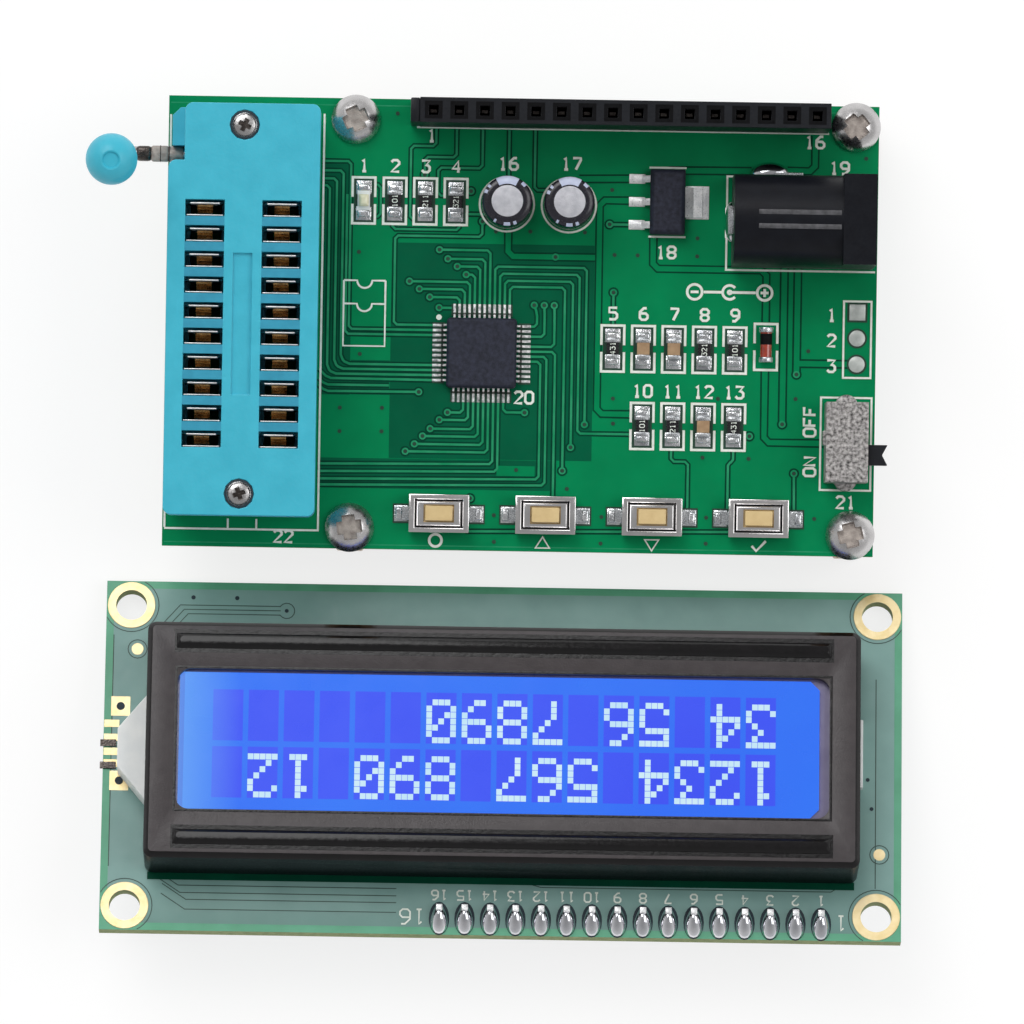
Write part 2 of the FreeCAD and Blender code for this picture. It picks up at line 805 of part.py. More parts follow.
def socket_cover():
    half_w, half_l = S.socket_width / 2, S.socket_length / 2
    low, height = S.socket_base_height, S.socket_cover_height
    top = low + height
    step_x, step_y = -half_w + S.notch_width, half_l - S.notch_length
    plan = [(-half_w, -half_l), (half_w, -half_l), (half_w, half_l), (step_x, half_l), (step_x, step_y),
            (-half_w, step_y)]
    cover = padded("socket_cover_body", plan, height, lift=low)
    inner = (step_x.value, step_y.value)
    soften(cover, S.socket_corner, lambda edge: is_upright(edge) and max(
        abs(edge.Vertexes[0].X - inner[0]), abs(edge.Vertexes[0].Y - inner[1])) > 1e-6)
    first_row = S.socket_row_shift - S.socket_pitch * (SOCKET_ROWS - 1) / 2
    slot_plan = rectangle(S.slot_length, S.slot_width, -S.socket_columns / 2, first_row)
    slot = pocket(cover, slot_plan, height, top)
    repeat(cover, slot, "X_Axis", 2, S.socket_columns, "Y_Axis", SOCKET_ROWS, S.socket_pitch)
    pocket(cover, rectangle(S.plate_recess_width, S.plate_recess_length, 0, S.socket_row_shift),
           S.plate_recess_depth, top)
    tools = []
    for side in (-1, 1):
        y = cover_screw_y() * side
        shaft = faceted_hole(f"cover_hole_{side}", LEAD_SIDES, S.cover_screw_shank + S.cover_screw_play,
                             height + 2 * S.hole_overrun, 0, y, low - S.hole_overrun)
        sink = faceted_hole(f"cover_sink_{side}", SHANK_SIDES, S.cover_screw_head + 2 * S.cover_screw_play,
                            height, 0, y, top - S.cover_screw_sink)
        tools.append(fuse(f"cover_screw_space_{side}", shaft, sink))
    keeper_end = S.lever_inner_end - S.lever_rod_play
    keeper = span_box(
        "rod_keeper",
        (keeper_end - S.keeper_length, keeper_end),
        (lever_y() - S.lever_rod / 2, lever_y() + S.lever_rod / 2),
        (S.lever_axis_height + S.lever_rod / 2 + S.lever_rod_play, low),
    )
    drilled = cut("socket_cover_drilled", cover, *tools)
    stand(fuse("socket_cover", drilled, keeper), "socket_cover", S.socket_x, S.socket_y)

    seat = top - S.cover_screw_sink
    foot = low - S.cover_screw_reach + S.cover_screw_play
    head_top = seat + S.cover_screw_head_height
    head = faceted_pin("cover_screw_head", HEAD_SIDES, S.cover_screw_head, S.cover_screw_head_height, z=seat)
    shank = faceted_pin("cover_screw_shank", LEAD_SIDES, S.cover_screw_shank, seat - foot, z=foot)
    blank = fuse("cover_screw_blank", head, shank)
    scale = S.cover_screw_head / S.screw_head
    recess = cross_recess("cover_screw", S.cross_recess * scale, S.cross_width * scale, S.cross_depth * scale,
                          head_top)
    screw = cut("cover_screw", blank, recess)
    places = [(0, cover_screw_y() * side, 0, 0) for side in (-1, 1)]
    stand(copies("socket_cover_screws", screw, places), "socket_cover_screws", S.socket_x, S.socket_y)


def socket_contacts():
    half, leaf = S.contact_span / 2, S.contact_leaf
    low = S.contact_standoff
    top = S.socket_base_height + S.socket_cover_height - S.contact_below_top
    step = low + S.contact_bridge
    fork_plan = [(-half, low), (half, low), (half, top), (half - leaf, top), (half - leaf, step),
                 (-half + leaf, step), (-half + leaf, top), (-half, top)]
    fork = padded("contact_fork", fork_plan, S.contact_width, "YZ_Plane", -S.contact_width / 2)
    tail_low = -S.board_thick - S.lead_below
    tail = box("contact_tail", S.contact_tail, leaf, low - tail_low, z=tail_low)
    contact = fuse("socket_contact", fork, tail)
    places = [(x, y, 0, 0) for x, y in socket_ways()]
    stand(copies("socket_contacts", contact, places), "socket_contacts", S.socket_x, S.socket_y)


def socket_slider():
    low = S.socket_base_height - S.slider_thick - S.slider_play / 2
    near, far, width = slider_near_end(), slider_far_end(), slider_width()
    plate_plan = rectangle(width, far - near, 0, (near + far) / 2)
    plate = padded("socket_slider", plate_plan, S.slider_thick, lift=low)
    first_row = S.socket_row_shift - S.socket_pitch * (SOCKET_ROWS - 1) / 2
    window = S.contact_span + 2 * S.slider_play + slider_travel()
    window_y = first_row - slider_travel() / 2
    hole = pocket(plate, rectangle(S.slot_length, window, -S.socket_columns / 2, window_y),
                  S.slider_thick, low + S.slider_thick)
    repeat(plate, hole, "X_Axis", 2, S.socket_columns, "Y_Axis", SOCKET_ROWS, S.socket_pitch)
    stand(plate, "socket_slider", S.socket_x, S.socket_y)


def lever():
    """The lever about its own axis: a rod with a cam lobe, bent upright, and a ball on its end."""
    thick = S.lever_rod
    bend_x = -S.lever_reach + S.lever_bend
    shaft = faceted_pin("lever_shaft", SHANK_SIDES, thick, S.lever_inner_end - bend_x, bend_x, 0, 0, "X")
    elbow = turned("lever_elbow", polygon(SHANK_SIDES, thick, S.lever_bend), QUARTER)
    upright, half_turn = Rotation(Vector(1, 0, 0), QUARTER), Rotation(Vector(0, 0, 1), HALF)
    elbow.Placement = Placement(Vector(), upright * half_turn)
    place(elbow, bend_x, 0, S.lever_bend)
    arm_top = S.lever_height + S.knob_rod_depth - S.knob_ball / 2
    arm = faceted_pin("lever_arm", SHANK_SIDES, thick, arm_top - S.lever_bend,
                      -S.lever_reach, 0, S.lever_bend)
    lobe_angle = lever_half_angle() - S.lever_lean_angle
    lobe = rod("lever_lobe", 2 * S.lobe_radius, S.lobe_length, S.lobe_start,
               -S.lobe_offset * sine(lobe_angle), S.lobe_offset * cosine(lobe_angle), "X")
    lean_lever(fuse("lever_rod", shaft, elbow, arm, lobe), "lever_rod")

    ball, bore = S.knob_ball / 2, thick / 2 + S.knob_bore_play
    lowest = -arc_cosine(bore / ball)
    sweep = arc_cosine(S.knob_dimple / 2 / ball) - lowest
    turns = [lowest + sweep * band / KNOB_BANDS for band in range(KNOB_BANDS + 1)]
    skin = [(ball * cosine(turn), S.lever_height + ball * sine(turn)) for turn in turns]
    dimple_floor = skin[-1][1] - S.knob_dimple_depth
    knob = turned("lever_knob", [(0, arm_top), (bore, arm_top), *skin, (0, dimple_floor)])
    lean_lever(knob, "lever_knob", -S.lever_reach)


def lean_lever(obj, label, along=0):
    """Registers a sub-part of the lever, which leans about its rod."""
    obj.Label = label
    NODES.append(obj)
    obj.Placement = Placement(Vector(), Rotation(Vector(1, 0, 0), S.lever_lean_angle.value))
    bind(obj, "Placement.Rotation.Angle", S.lever_lean_angle)
    place(obj, S.socket_x + along, S.socket_y + lever_y(), board_top + S.lever_axis_height)


# Sixteen-way header

def display_header():
    length = S.header_pitch * (DISPLAY_WAYS - 1) + 2 * S.header_end
    top = S.header_height
    housing = padded("header_body", rectangle(length, S.header_width), top)
    first = header_ways()[0]
    mouth = pocket(housing, rectangle(S.header_mouth, S.header_mouth, first), S.header_mouth_depth, top)
    repeat(housing, mouth, "X_Axis", DISPLAY_WAYS, S.header_pitch)
    hole = pocket(housing, rectangle(S.header_hole, S.header_hole, first), top, top)
    repeat(housing, hole, "X_Axis", DISPLAY_WAYS, S.header_pitch)
    stand(housing, "display_header", S.header_x, S.header_y)

    tail_low = -S.board_thick - S.lead_below
    leaf = box("header_leaf", S.header_leaf_width, S.header_leaf, S.header_leaf_height - tail_low, z=tail_low)
    stand(copies("header_contacts", leaf, [(x, 0, 0, 0) for x in header_ways()]), "header_contacts",
          S.header_x, S.header_y)


# Power jack: x runs from its rear to its mouth

def power_jack():
    axis, width, length = S.jack_axis_height, S.jack_width, S.jack_length
    mouth_bore = rod("jack_bore_tool", S.jack_bore, S.jack_bore_depth + S.hole_overrun,
                     length - S.jack_bore_depth, 0, axis, "X")
    pin_hole = faceted_hole("jack_pin_hole", SHANK_SIDES, S.jack_pin + 2 * S.jack_pin_play, length,
                            -S.hole_overrun, 0, axis, "X")
    block = box("jack_block", length, width, axis, length / 2)
    barrel = rod("jack_barrel", width, length, 0, 0, axis, "X")
    flange = box("jack_flange", S.jack_flange, width, S.jack_flange_height, length - S.jack_flange / 2)
    shell = fuse("jack_shell", block, barrel, flange)
    housing = cut("jack_housing", shell, fuse("jack_hollow", mouth_bore, pin_hole))
    stand(housing, "jack_housing", S.jack_x, S.jack_y)

    pin = faceted_pin("jack_pin_rod", SHANK_SIDES, S.jack_pin, length - S.jack_pin_back, 0, 0, axis, "X")
    stand(group("jack_centre_pin", [pin]), "jack_pin", S.jack_x, S.jack_y)

    low = -S.board_thick - S.lead_below
    rear = box("jack_rear_blade", S.jack_blade, S.jack_blade_width, S.jack_rear_blade_top - low,
               -S.jack_blade / 2, 0, low)
    side = box("jack_side_blade", S.jack_blade_width, S.jack_blade, S.jack_side_blade_top - low,
               S.jack_side_blade_x, width / 2 + S.jack_blade / 2, low)
    stand(group("jack_blades", [rear, side]), "jack_terminals", S.jack_x, S.jack_y)


# Slide switch: its knob leaves towards +X

def slide_switch():
    wall, fit = S.switch_wall, S.switch_fit
    base_top, height = S.switch_base_height, S.switch_height
    inner_width, inner_length = S.switch_width - 2 * wall, S.switch_length - 2 * wall
    can = box("switch_can", S.switch_width, S.switch_length, height)
    lug_y = S.switch_length / 2 + S.switch_lug_out - S.switch_lug
    lugs = [rod(f"switch_lug_{side}", 2 * S.switch_lug, S.switch_lug_height, 0, lug_y * side)
            for side in (-1, 1)]
    hollow = box("switch_hollow", inner_width, inner_length, height - wall + S.hole_overrun,
                 z=-S.hole_overrun)
    gap = S.switch_window_play
    knob_low = base_top + (S.switch_block_height - S.switch_knob_height) / 2 + gap
    window = box("switch_window", S.switch_width, S.switch_knob_width + S.switch_travel + 2 * gap,
                 S.switch_knob_height + 2 * gap, S.switch_width / 2, 0, knob_low - gap)
    shell = cut("switch_shell", fuse("switch_outer", can, *lugs), fuse("switch_inner", hollow, window))
    stand(shell, "switch_shell", S.switch_x, S.switch_y)

    base = box("switch_base_block", inner_width - 2 * fit, inner_length - 2 * fit, base_top)
    stand(group("switch_base_group", [base]), "switch_base", S.switch_x, S.switch_y)
    low = -S.board_thick - S.lead_below
    pins = [box(f"switch_pin_{n}", S.switch_pin, S.switch_pin, -low, 0, y, low)
            for n, y in enumerate(switch_pins())]
    stand(group("switch_pins", pins), "switch_terminals", S.switch_x, S.switch_y)

    y = -S.switch_travel / 2
    block = box("switch_block", S.switch_block_width, S.switch_block_length, S.switch_block_height, 0, y,
                base_top + fit)
    half, deep = S.switch_knob_width / 2, S.switch_knob_notch
    reach = S.switch_knob_reach
    plan = [(0, y - half), (reach, y - half), (reach - deep, y), (reach, y + half), (0, y + half)]
    handle = padded("switch_handle", plan, S.switch_knob_height, lift=knob_low)
    stand(fuse("switch_slider", block, handle), "switch_knob", S.switch_x, S.switch_y)


# Push buttons

def button_places():
    return [(S.button_x + S.button_pitch * step, S.button_y, 0, 0) for step in range(BUTTONS)]


def push_buttons():
    wall, fit = S.button_wall, S.button_fit
    length, width, top = S.button_length, S.button_width, S.button_height
    inner_length, inner_width = length - 2 * wall, width - 2 * wall
    lid = box("button_can", length, width, top - S.button_skirt, z=S.button_skirt)
    under_lid = top - wall
    hollow = box("button_hollow", inner_length, inner_width, under_lid)
    gap = S.plunger_play
    window = box("button_window", S.plunger_length + 2 * gap, S.plunger_width + 2 * gap, top + S.hole_overrun)
    frame = cut("button_frame", lid, fuse("button_space", hollow, window))
    stand(copies("button_frames", frame, button_places()), "button_frames")

    block = box("button_block", inner_length - 2 * fit, inner_width - 2 * fit, under_lid - fit)
    cavity = box("button_cavity", S.button_cavity_length, S.button_cavity_width, top, z=S.button_cavity_floor)
    base = cut("button_base", block, cavity)
    stand(copies("button_bases", base, button_places()), "button_bases")

    dome = frustum("button_dome", S.button_dome, S.button_dome_top, S.button_dome_height,
                   S.button_cavity_floor)
    stand(copies("button_domes", dome, button_places()), "button_domes")

    leg_x = inner_length / 2 - fit + S.button_leg / 2
    legs = [box(f"button_leg_{side}", S.button_leg, S.button_leg_width, S.button_leg_thick, leg_x * side)
            for side in (-1, 1)]
    stand(copies("button_terminals", group("button_legs", legs), button_places()), "button_terminals")

    for number, (x, y, _, _) in enumerate(button_places(), start=1):
        flange_top = under_lid - S.plunger_gap
        flange = box(f"plunger_flange_{number}", S.plunger_length + 2 * S.plunger_flange,
                     S.plunger_width + S.plunger_flange, S.plunger_flange_thick,
                     z=flange_top - S.plunger_flange_thick)
        stem = box(f"plunger_stem_{number}", S.plunger_length, S.plunger_width,
                   top + S.plunger_rise - flange_top, z=flange_top)
        stand(fuse(f"plunger_{number}", flange, stem), f"button_plunger_{number}", x, y)


# Radial capacitors

def radial_capacitors():
    top, bung, overrun = S.capacitor_height, S.capacitor_bung, S.hole_overrun
    skin, fit = S.capacitor_sleeve, S.sleeve_fit
    inner, lip = S.capacitor_diameter / 2 - skin, top - skin
    places = [(x, y, 0, 0) for x, y in capacitors()]
    skin_blank = faceted_pin("sleeve_blank", HEAD_SIDES, S.capacitor_diameter, top - bung, z=bung)
    hollow = faceted_pin("sleeve_hollow", HEAD_SIDES, 2 * inner, lip - bung + overrun, z=bung - overrun)
    mouth = faceted_pin("sleeve_mouth", HEAD_SIDES, S.capacitor_face, top, z=bung)
    sleeve = cut("capacitor_sleeve", skin_blank, fuse("sleeve_space", hollow, mouth))
    stand(copies("capacitor_sleeves", sleeve, places), "capacitor_sleeves")
    core = 2 * (inner - fit)
    can = faceted_pin("capacitor_can", SHANK_SIDES, core, lip - 2 * fit - bung, z=bung)
    stand(copies("capacitor_cans", can, places), "capacitor_cans")
    plug = faceted_pin("capacitor_plug", SHANK_SIDES, core, bung)
    low = -S.board_thick - S.lead_below
    leads = [faceted_pin(f"capacitor_lead_{side}", LEAD_SIDES, S.capacitor_lead, -low,
                         S.capacitor_lead_pitch / 2 * side, 0, low) for side in (-1, 1)]
    stand(copies("capacitor_bungs", plug, places), "capacitor_bungs")
    stand(copies("capacitor_wires", group("capacitor_lead_pair", leads), places), "capacitor_leads")


# Chips with formed leads

def formed_lead(name, width, thick, start, height, reach, foot):
    """A gull-wing lead that leaves the body at start and stands on the board, along +X."""
    end = start + reach
    knee = end - foot
    plan = [(start, height), (knee, 0), (end, 0), (end, thick), (knee, thick), (start, height + thick)]
    return padded(name, plan, width, "XZ_Plane", -width / 2)


def microcontroller():
    side, low = S.chip_side, S.chip_standoff
    body = padded("chip_body", rectangle(side, side), S.chip_height, lift=low)
    soften(body, S.chip_bevel, edges_at_height(low + S.chip_height), "Chamfer")
    stand(body, "microcontroller_body", S.chip_x, S.chip_y)
    height = low + S.chip_height / 2 - S.chip_lead_thick
    lead = formed_lead("chip_lead", S.chip_lead_width, S.chip_lead_thick, side / 2, height, S.chip_lead_reach,
                       S.chip_lead_foot)
    places = []
    for number in range(CHIP_LEADS_PER_SIDE):
        along = S.chip_lead_pitch * (number - (CHIP_LEADS_PER_SIDE - 1) / 2)
        places += [(0, along, 0, 0), (0, along, 0, 2 * QUARTER)]
        places += [(along, 0, 0, QUARTER), (along, 0, 0, 3 * QUARTER)]
    stand(copies("chip_leads", lead, places), "microcontroller_leads", S.chip_x, S.chip_y)


def regulator():
    low = S.regulator_standoff
    body_plan = rectangle(S.regulator_width, S.regulator_length)
    body = padded("regulator_block", body_plan, S.regulator_height, lift=low)
    soften(body, S.regulator_bevel, edges_at_height(low + S.regulator_height), "Chamfer")
    stand(body, "regulator_body", S.regulator_x, S.regulator_y)
    height = low + S.regulator_height / 2 - S.regulator_lead_thick
    shape = (S.regulator_lead_thick, S.regulator_width / 2, height, S.regulator_lead_reach,
             S.regulator_lead_foot)
    leg = formed_lead("regulator_leg", S.regulator_leg_width, *shape)
    tab = formed_lead("regulator_tab", S.regulator_tab_width, *shape)
    legs = copies("regulator_legs", leg, [(0, S.regulator_leg_pitch * step, 0, HALF) for step in (-1, 0, 1)])
    stand(group("regulator_leads", [legs, tab]), "regulator_leads", S.regulator_x, S.regulator_y)


# Chip resistors and capacitors, the indicator and the diode

def chip_part_places(kind):
    rows = (
        (BACK_ROW, S.part_row_back_x, S.part_row_back_y),
        (MIDDLE_ROW, S.part_row_middle_x, S.part_row_middle_y),
        (FRONT_ROW, S.part_row_front_x, S.part_row_front_y),
    )
    return [(x + S.part_pitch * number, y, 0, 0)
            for kinds, x, y in rows for number, one in enumerate(kinds) if one == kind]


def chip_parts():
    for kind, height in (("resistor", S.part_height), ("capacitor", S.part_cap_height)):
        body = box(f"{kind}_core", S.part_width, S.part_length - 2 * S.part_end, height)
        places = chip_part_places(kind)
        stand(copies(f"{kind}_cores", body, places), f"chip_{kind}_bodies")
        ends = end_caps(kind, S.part_width, height)
        stand(copies(f"{kind}_ends", ends, places), f"chip_{kind}_ends")

    base = box("indicator_plate", S.part_width, S.part_length - 2 * S.part_end, S.indicator_base)
    x, y = S.indicator_x, S.part_row_back_y
    caps = end_caps("indicator", S.part_width, S.indicator_base)
    stand(group("indicator_base", [base, caps]), "indicator_base", x, y)
    lens_plan = rectangle(S.part_width - S.indicator_lens_inset, S.part_length - 2 * S.part_end)
    lens = padded("indicator_dome", lens_plan, S.indicator_lens, lift=S.indicator_base)
    soften(lens, S.indicator_lens_inset, edges_at_height(S.indicator_base + S.indicator_lens), "Chamfer")
    stand(lens, "indicator_lens", x, y)

    radius = S.diode_diameter / 2
    glass_length = S.diode_length - 2 * S.diode_end
    glass = rod("diode_tube", S.diode_diameter - 2 * S.diode_glass_step, glass_length,
                0, -glass_length / 2, radius, "Y")
    stand(group("diode_glass", [glass]), "diode_glass", S.diode_x, S.diode_y)
    ends = [faceted_pin(f"diode_cap_{name}", SHANK_SIDES, S.diode_diameter, S.diode_end, 0, y, radius, "Y")
            for name, y in (("near", -S.diode_length / 2), ("far", glass_length / 2))]
    stand(group("diode_caps", ends), "diode_ends", S.diode_x, S.diode_y)


def end_caps(kind, width, height):
    middle = (S.part_length - S.part_end) / 2
    caps = [box(f"{kind}_end_{side}", width, S.part_end, height, 0, middle * side) for side in (-1, 1)]
    return group(f"{kind}_end_pair", caps)


# Display module, modelled about its board's centre with its top face at zero

def display_module():
    display_board()
    display_bezel()
    display_stack()
    display_pins()


def bezel_plan():
    """Length and width of the bezel, round the glass."""
    margin = 2 * (S.bezel_wall + S.glass_play)
    return S.glass_length + margin, S.glass_width + margin


def window_plan():
    return S.glass_length - 2 * S.window_margin_x, S.glass_width - 2 * S.window_margin_y


def tab_places():
    length, width = bezel_plan()
    return [((length / 2 - S.tab_end) * i, (width - S.tab_thick) / 2 * j)
            for i in (-1, 0, 1) for j in (-1, 1)]


def display_board():
    thick = S.board_thick
    blank = box("display_blank", S.display_length, S.display_width, thick, z=-thick)
    depth, low = thick + 2 * S.hole_overrun, -thick - S.hole_overrun
    corners = [(S.display_hole_x / 2 * i, S.display_hole_y / 2 * j) for i in (-1, 1) for j in (-1, 1)]
    holes = [rod(f"display_hole_{n}", S.display_hole, depth, x, y, low) for n, (x, y) in enumerate(corners)]
    holes += [lead_slot(f"pin_slot_{n}", S.pin_row_x + x, S.pin_row_y) for n, x in enumerate(header_ways())]
    slots = [box(f"tab_slot_{n}", S.tab_length + S.tab_play, S.tab_thick + S.tab_play, depth, x, y, low)
             for n, (x, y) in enumerate(tab_places())]
    lay(cut("display_pcb", blank, *holes, *slots), "display_pcb")


def display_bezel():
    length, width = bezel_plan()
    height, wall = S.bezel_height, S.bezel_wall
    outer = rounded_block("bezel_outer", length, width, height, S.bezel_corner)
    soften(outer, S.bezel_edge, edges_at_height(height), "Chamfer")
    inner = box("bezel_inner", length - 2 * wall, width - 2 * wall, height - wall + S.hole_overrun,
                z=-S.hole_overrun)
    window = rounded_block("bezel_window", *window_plan(), height, S.window_corner, wall)
    wing_gap = box("wing_gap", length / 2, S.wing_root + 2 * S.wing_play, S.light_height + 2 * S.wing_play,
                   -length / 2, 0, -S.wing_play)
    side_gap = box("side_gap", length / 2, S.side_cut_length, S.side_cut_height, length / 2, 0, 0)
    shell = cut("bezel_shell", outer, fuse("bezel_space", inner, window, wing_gap, side_gap))
    ribs = [rib(side) for side in (-1, 1)]
    tabs = [box(f"bezel_tab_{n}", S.tab_length, S.tab_thick, S.board_thick + S.tab_below + wall, x, y,
                -S.board_thick - S.tab_below) for n, (x, y) in enumerate(tab_places())]
    lay(fuse("display_bezel", shell, *ribs, *tabs), "display_bezel")


def rib(side):
    """A pressed rib along a margin of the bezel, with sloped flanks."""
    top = S.bezel_height
    length, width = bezel_plan()
    plan = rectangle(length - 2 * S.rib_end, S.rib_width, 0, (width / 2 - S.rib_edge) * side)
    body = padded(f"bezel_rib_{'near' if side < 0 else 'far'}", plan, S.rib_height, lift=top)
    soften(body, S.rib_slope, edges_at_height(top + S.rib_height), "Chamfer")
    return body


def display_stack():
    light_top = S.light_height
    glass_low = S.bezel_height - S.bezel_wall - S.polarizer_thick - S.glass_thick
    half = S.glass_length / 2 - S.light_inset
    edge = -bezel_plan()[0] / 2
    out = edge - S.wing_reach
    root, tip, deep = S.wing_root / 2, S.wing_tip / 2, S.light_width / 2
    plan = [(half, -deep), (half, deep), (-half, deep), (-half, root), (edge, root), (out, tip), (out, -tip),
            (edge, -root), (-half, -root), (-half, -deep)]
    lay(padded("backlight_plate", plan, light_top), "display_backlight")

    lay(group("glass_group", [box("glass_cell", S.glass_length, S.glass_width, S.glass_thick, z=glass_low)]),
        "display_glass")
    strip_y = deep + S.rubber_play + S.rubber_width / 2
    strip_length = S.glass_length - 2 * S.rubber_inset
    strips = [box(f"rubber_strip_{side}", strip_length, S.rubber_width, glass_low, 0, strip_y * side)
              for side in (-1, 1)]
    lay(group("rubber_strips", strips), "display_rubber_strips")

    window_length, window_width = window_plan()
    film_length = window_length - 2 * S.polarizer_inset_x
    film_plan = rectangle(film_length, window_width - 2 * S.polarizer_inset_y, S.polarizer_shift)
    film = padded("polarizer_film", film_plan, S.polarizer_thick, lift=glass_low + S.glass_thick)
    right = (S.polarizer_shift + film_length / 2).value

    def at_right(edge):
        return is_upright(edge) and abs(edge.Vertexes[0].X - right) < 1e-6

    soften(film, S.polarizer_clip, at_right, "Chamfer")
    lay(film, "display_polarizer")

    strap_x = out - S.strap_gap - S.strap_length / 2
    straps = [box(f"strap_{side}", S.strap_length, S.strap_width, S.strap_thick, strap_x, S.strap_y * side)
              for side in (-1, 1)]
    lay(group("backlight_straps", straps), "backlight_straps")

    drop_low = -S.board_thick - S.drop_height
    blob = tapered("chip_drop", HEAD_SIDES, S.drop_crown, S.drop_diameter, S.drop_height, drop_low)
    lay(copies("chip_drops", blob, [(S.drop_x * side, 0, 0, 0) for side in (-1, 1)]), "driver_chip_drops")


def display_pins():
    ways = [(S.pin_row_x + x, S.pin_row_y, 0, 0) for x in header_ways()]
    strip_low = -S.board_thick - S.strip_height
    strip_length = S.header_pitch * DISPLAY_WAYS
    strip = box("strip_bar", strip_length, S.strip_width, S.strip_height, S.pin_row_x, S.pin_row_y, strip_low)
    bore_side = S.pin_side + S.contact_pocket_play / 2
    bore_height = S.strip_height + 2 * S.hole_overrun
    bores = [box(f"strip_bore_{n}", bore_side, bore_side, bore_height, x, y, strip_low - S.hole_overrun)
             for n, (x, y, _, _) in enumerate(ways)]
    lay(cut("pin_strip", strip, *bores), "display_pin_strip")
    pin_low = strip_low - S.pin_below
    pin = box("display_pin", S.pin_side, S.pin_side, S.pin_above - pin_low, z=pin_low)
    lay(copies("display_pins", pin, ways), "display_pins")
    solder = frustum("pin_solder", S.joint_base, S.joint_top, S.joint_height)
    bore = box("pin_joint_bore", S.joint_bore, S.joint_bore, S.joint_height + 2 * S.hole_overrun,
               z=-S.hole_overrun)
    joint = cut("pin_joint", solder, bore)
    lay(copies("pin_joints", joint, ways), "display_solder_joints")


main_board()
fasteners()
lever_socket()
display_header()
power_jack()
slide_switch()
push_buttons()
radial_capacitors()
microcontroller()
regulator()
chip_parts()
display_module()
doc.recompute()

for obj in doc.Objects:
    if "Invalid" in obj.State or "Error" in obj.State:
        raise RuntimeError(f"{obj.Name} failed: {obj.State}")
for node in NODES:
    if node.Shape.isNull() or not node.Shape.isValid():
        raise RuntimeError(f"{node.Label} has no valid shape")

os.makedirs("parts", exist_ok=True)
for node in NODES:
    node.Shape.exportStep(os.path.join("parts", f"{node.Label}.step"))
    print(f"{node.Label}: {len(node.Shape.Solids)} solids, {node.Shape.Volume:.2f} mm3")
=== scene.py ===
import itertools
import json
import math

import bmesh
import bpy
from mathutils import Matrix, Vector


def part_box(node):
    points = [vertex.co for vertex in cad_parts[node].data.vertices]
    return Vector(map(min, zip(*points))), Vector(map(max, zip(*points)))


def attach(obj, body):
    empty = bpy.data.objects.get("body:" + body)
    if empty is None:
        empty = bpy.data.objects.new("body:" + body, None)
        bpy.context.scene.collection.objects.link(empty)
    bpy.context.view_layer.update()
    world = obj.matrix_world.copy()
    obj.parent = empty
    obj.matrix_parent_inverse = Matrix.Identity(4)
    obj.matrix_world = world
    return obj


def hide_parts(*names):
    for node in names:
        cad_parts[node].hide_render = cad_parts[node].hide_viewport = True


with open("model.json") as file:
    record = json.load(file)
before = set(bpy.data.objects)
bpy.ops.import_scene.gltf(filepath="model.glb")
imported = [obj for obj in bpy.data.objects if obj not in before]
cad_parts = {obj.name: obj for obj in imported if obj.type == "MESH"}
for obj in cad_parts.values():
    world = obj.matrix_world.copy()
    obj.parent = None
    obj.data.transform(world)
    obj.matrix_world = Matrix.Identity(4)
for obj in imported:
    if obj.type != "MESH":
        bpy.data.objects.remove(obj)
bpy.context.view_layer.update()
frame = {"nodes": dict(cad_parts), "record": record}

# Every length below is in millimetres in the CAD frame. A piece becomes metres when it is finished.
MM = 0.001
WELD = 0.0005
FLAT, SHARP = math.radians(1), math.radians(30)
# Flat artwork is one layer thick, and each kind lies a layer above the one before.
LAYER = 0.008
RECORD = frame["record"]
NODE_BODY = {node: body for body, nodes in RECORD["behaviour"]["bodies"].items() for node in nodes}
NODE_SLOT = {entry["node"]: entry["material_slot"] for entry in RECORD["subparts"]}


# Shapes

def cad_mesh(node):
    """A welded copy of a CAD node, its flat faces merged."""
    bm = bmesh.new()
    bm.from_mesh(frame["nodes"][node].data)
    bmesh.ops.scale(bm, vec=(1 / MM,) * 3, verts=bm.verts)
    bmesh.ops.remove_doubles(bm, verts=bm.verts, dist=WELD)
    bmesh.ops.dissolve_limit(bm, angle_limit=FLAT, verts=bm.verts, edges=bm.edges)
    return bm


def box_of(points):
    """The (low, high) corners of the box round some points."""
    return tuple(Vector([pick(point[axis] for point in points) for axis in range(3)]) for pick in (min, max))


def solid_boxes(node):
    """The (low, high) corners of each separate solid of a CAD node, from left to right."""
    bm = cad_mesh(node)
    left, boxes = set(bm.verts), []
    while left:
        queue, solid = [left.pop()], []
        while queue:
            vert = queue.pop()
            solid.append(vert.co)
            near = {edge.other_vert(vert) for edge in vert.link_edges} & left
            left -= near
            queue.extend(near)
        boxes.append(box_of(solid))
    bm.free()
    return sorted(boxes, key=lambda box: (round(box[0].x, 1), box[0].y))


def node_box(node):
    return tuple(Vector(corner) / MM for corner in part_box(node))


def middle(box):
    return (box[0] + box[1]) / 2


def sharp_edges(bm):
    return [edge for edge in bm.edges if edge.is_manifold and edge.calc_face_angle() > SHARP]


def edges_along(bm, direction):
    """The sharp edges that run along a direction."""
    return [edge for edge in sharp_edges(bm)
            if abs((edge.verts[1].co - edge.verts[0].co).normalized().dot(direction)) > 0.9]


def round_edges(bm, edges, radius, segments=4):
    bmesh.ops.bevel(bm, geom=edges, offset=radius, segments=segments, profile=0.5, affect="EDGES",
                    clamp_overlap=True, material=-1)


def soften(bm, radius, segments=2):
    """Rounds every sharp edge."""
    round_edges(bm, sharp_edges(bm), radius, segments)


def block(size, round_over=0.0, segments=2):
    bm = bmesh.new()
    bmesh.ops.create_cube(bm, size=1, matrix=Matrix.Diagonal((*size, 1)))
    if round_over:
        soften(bm, round_over, segments)
    return bm


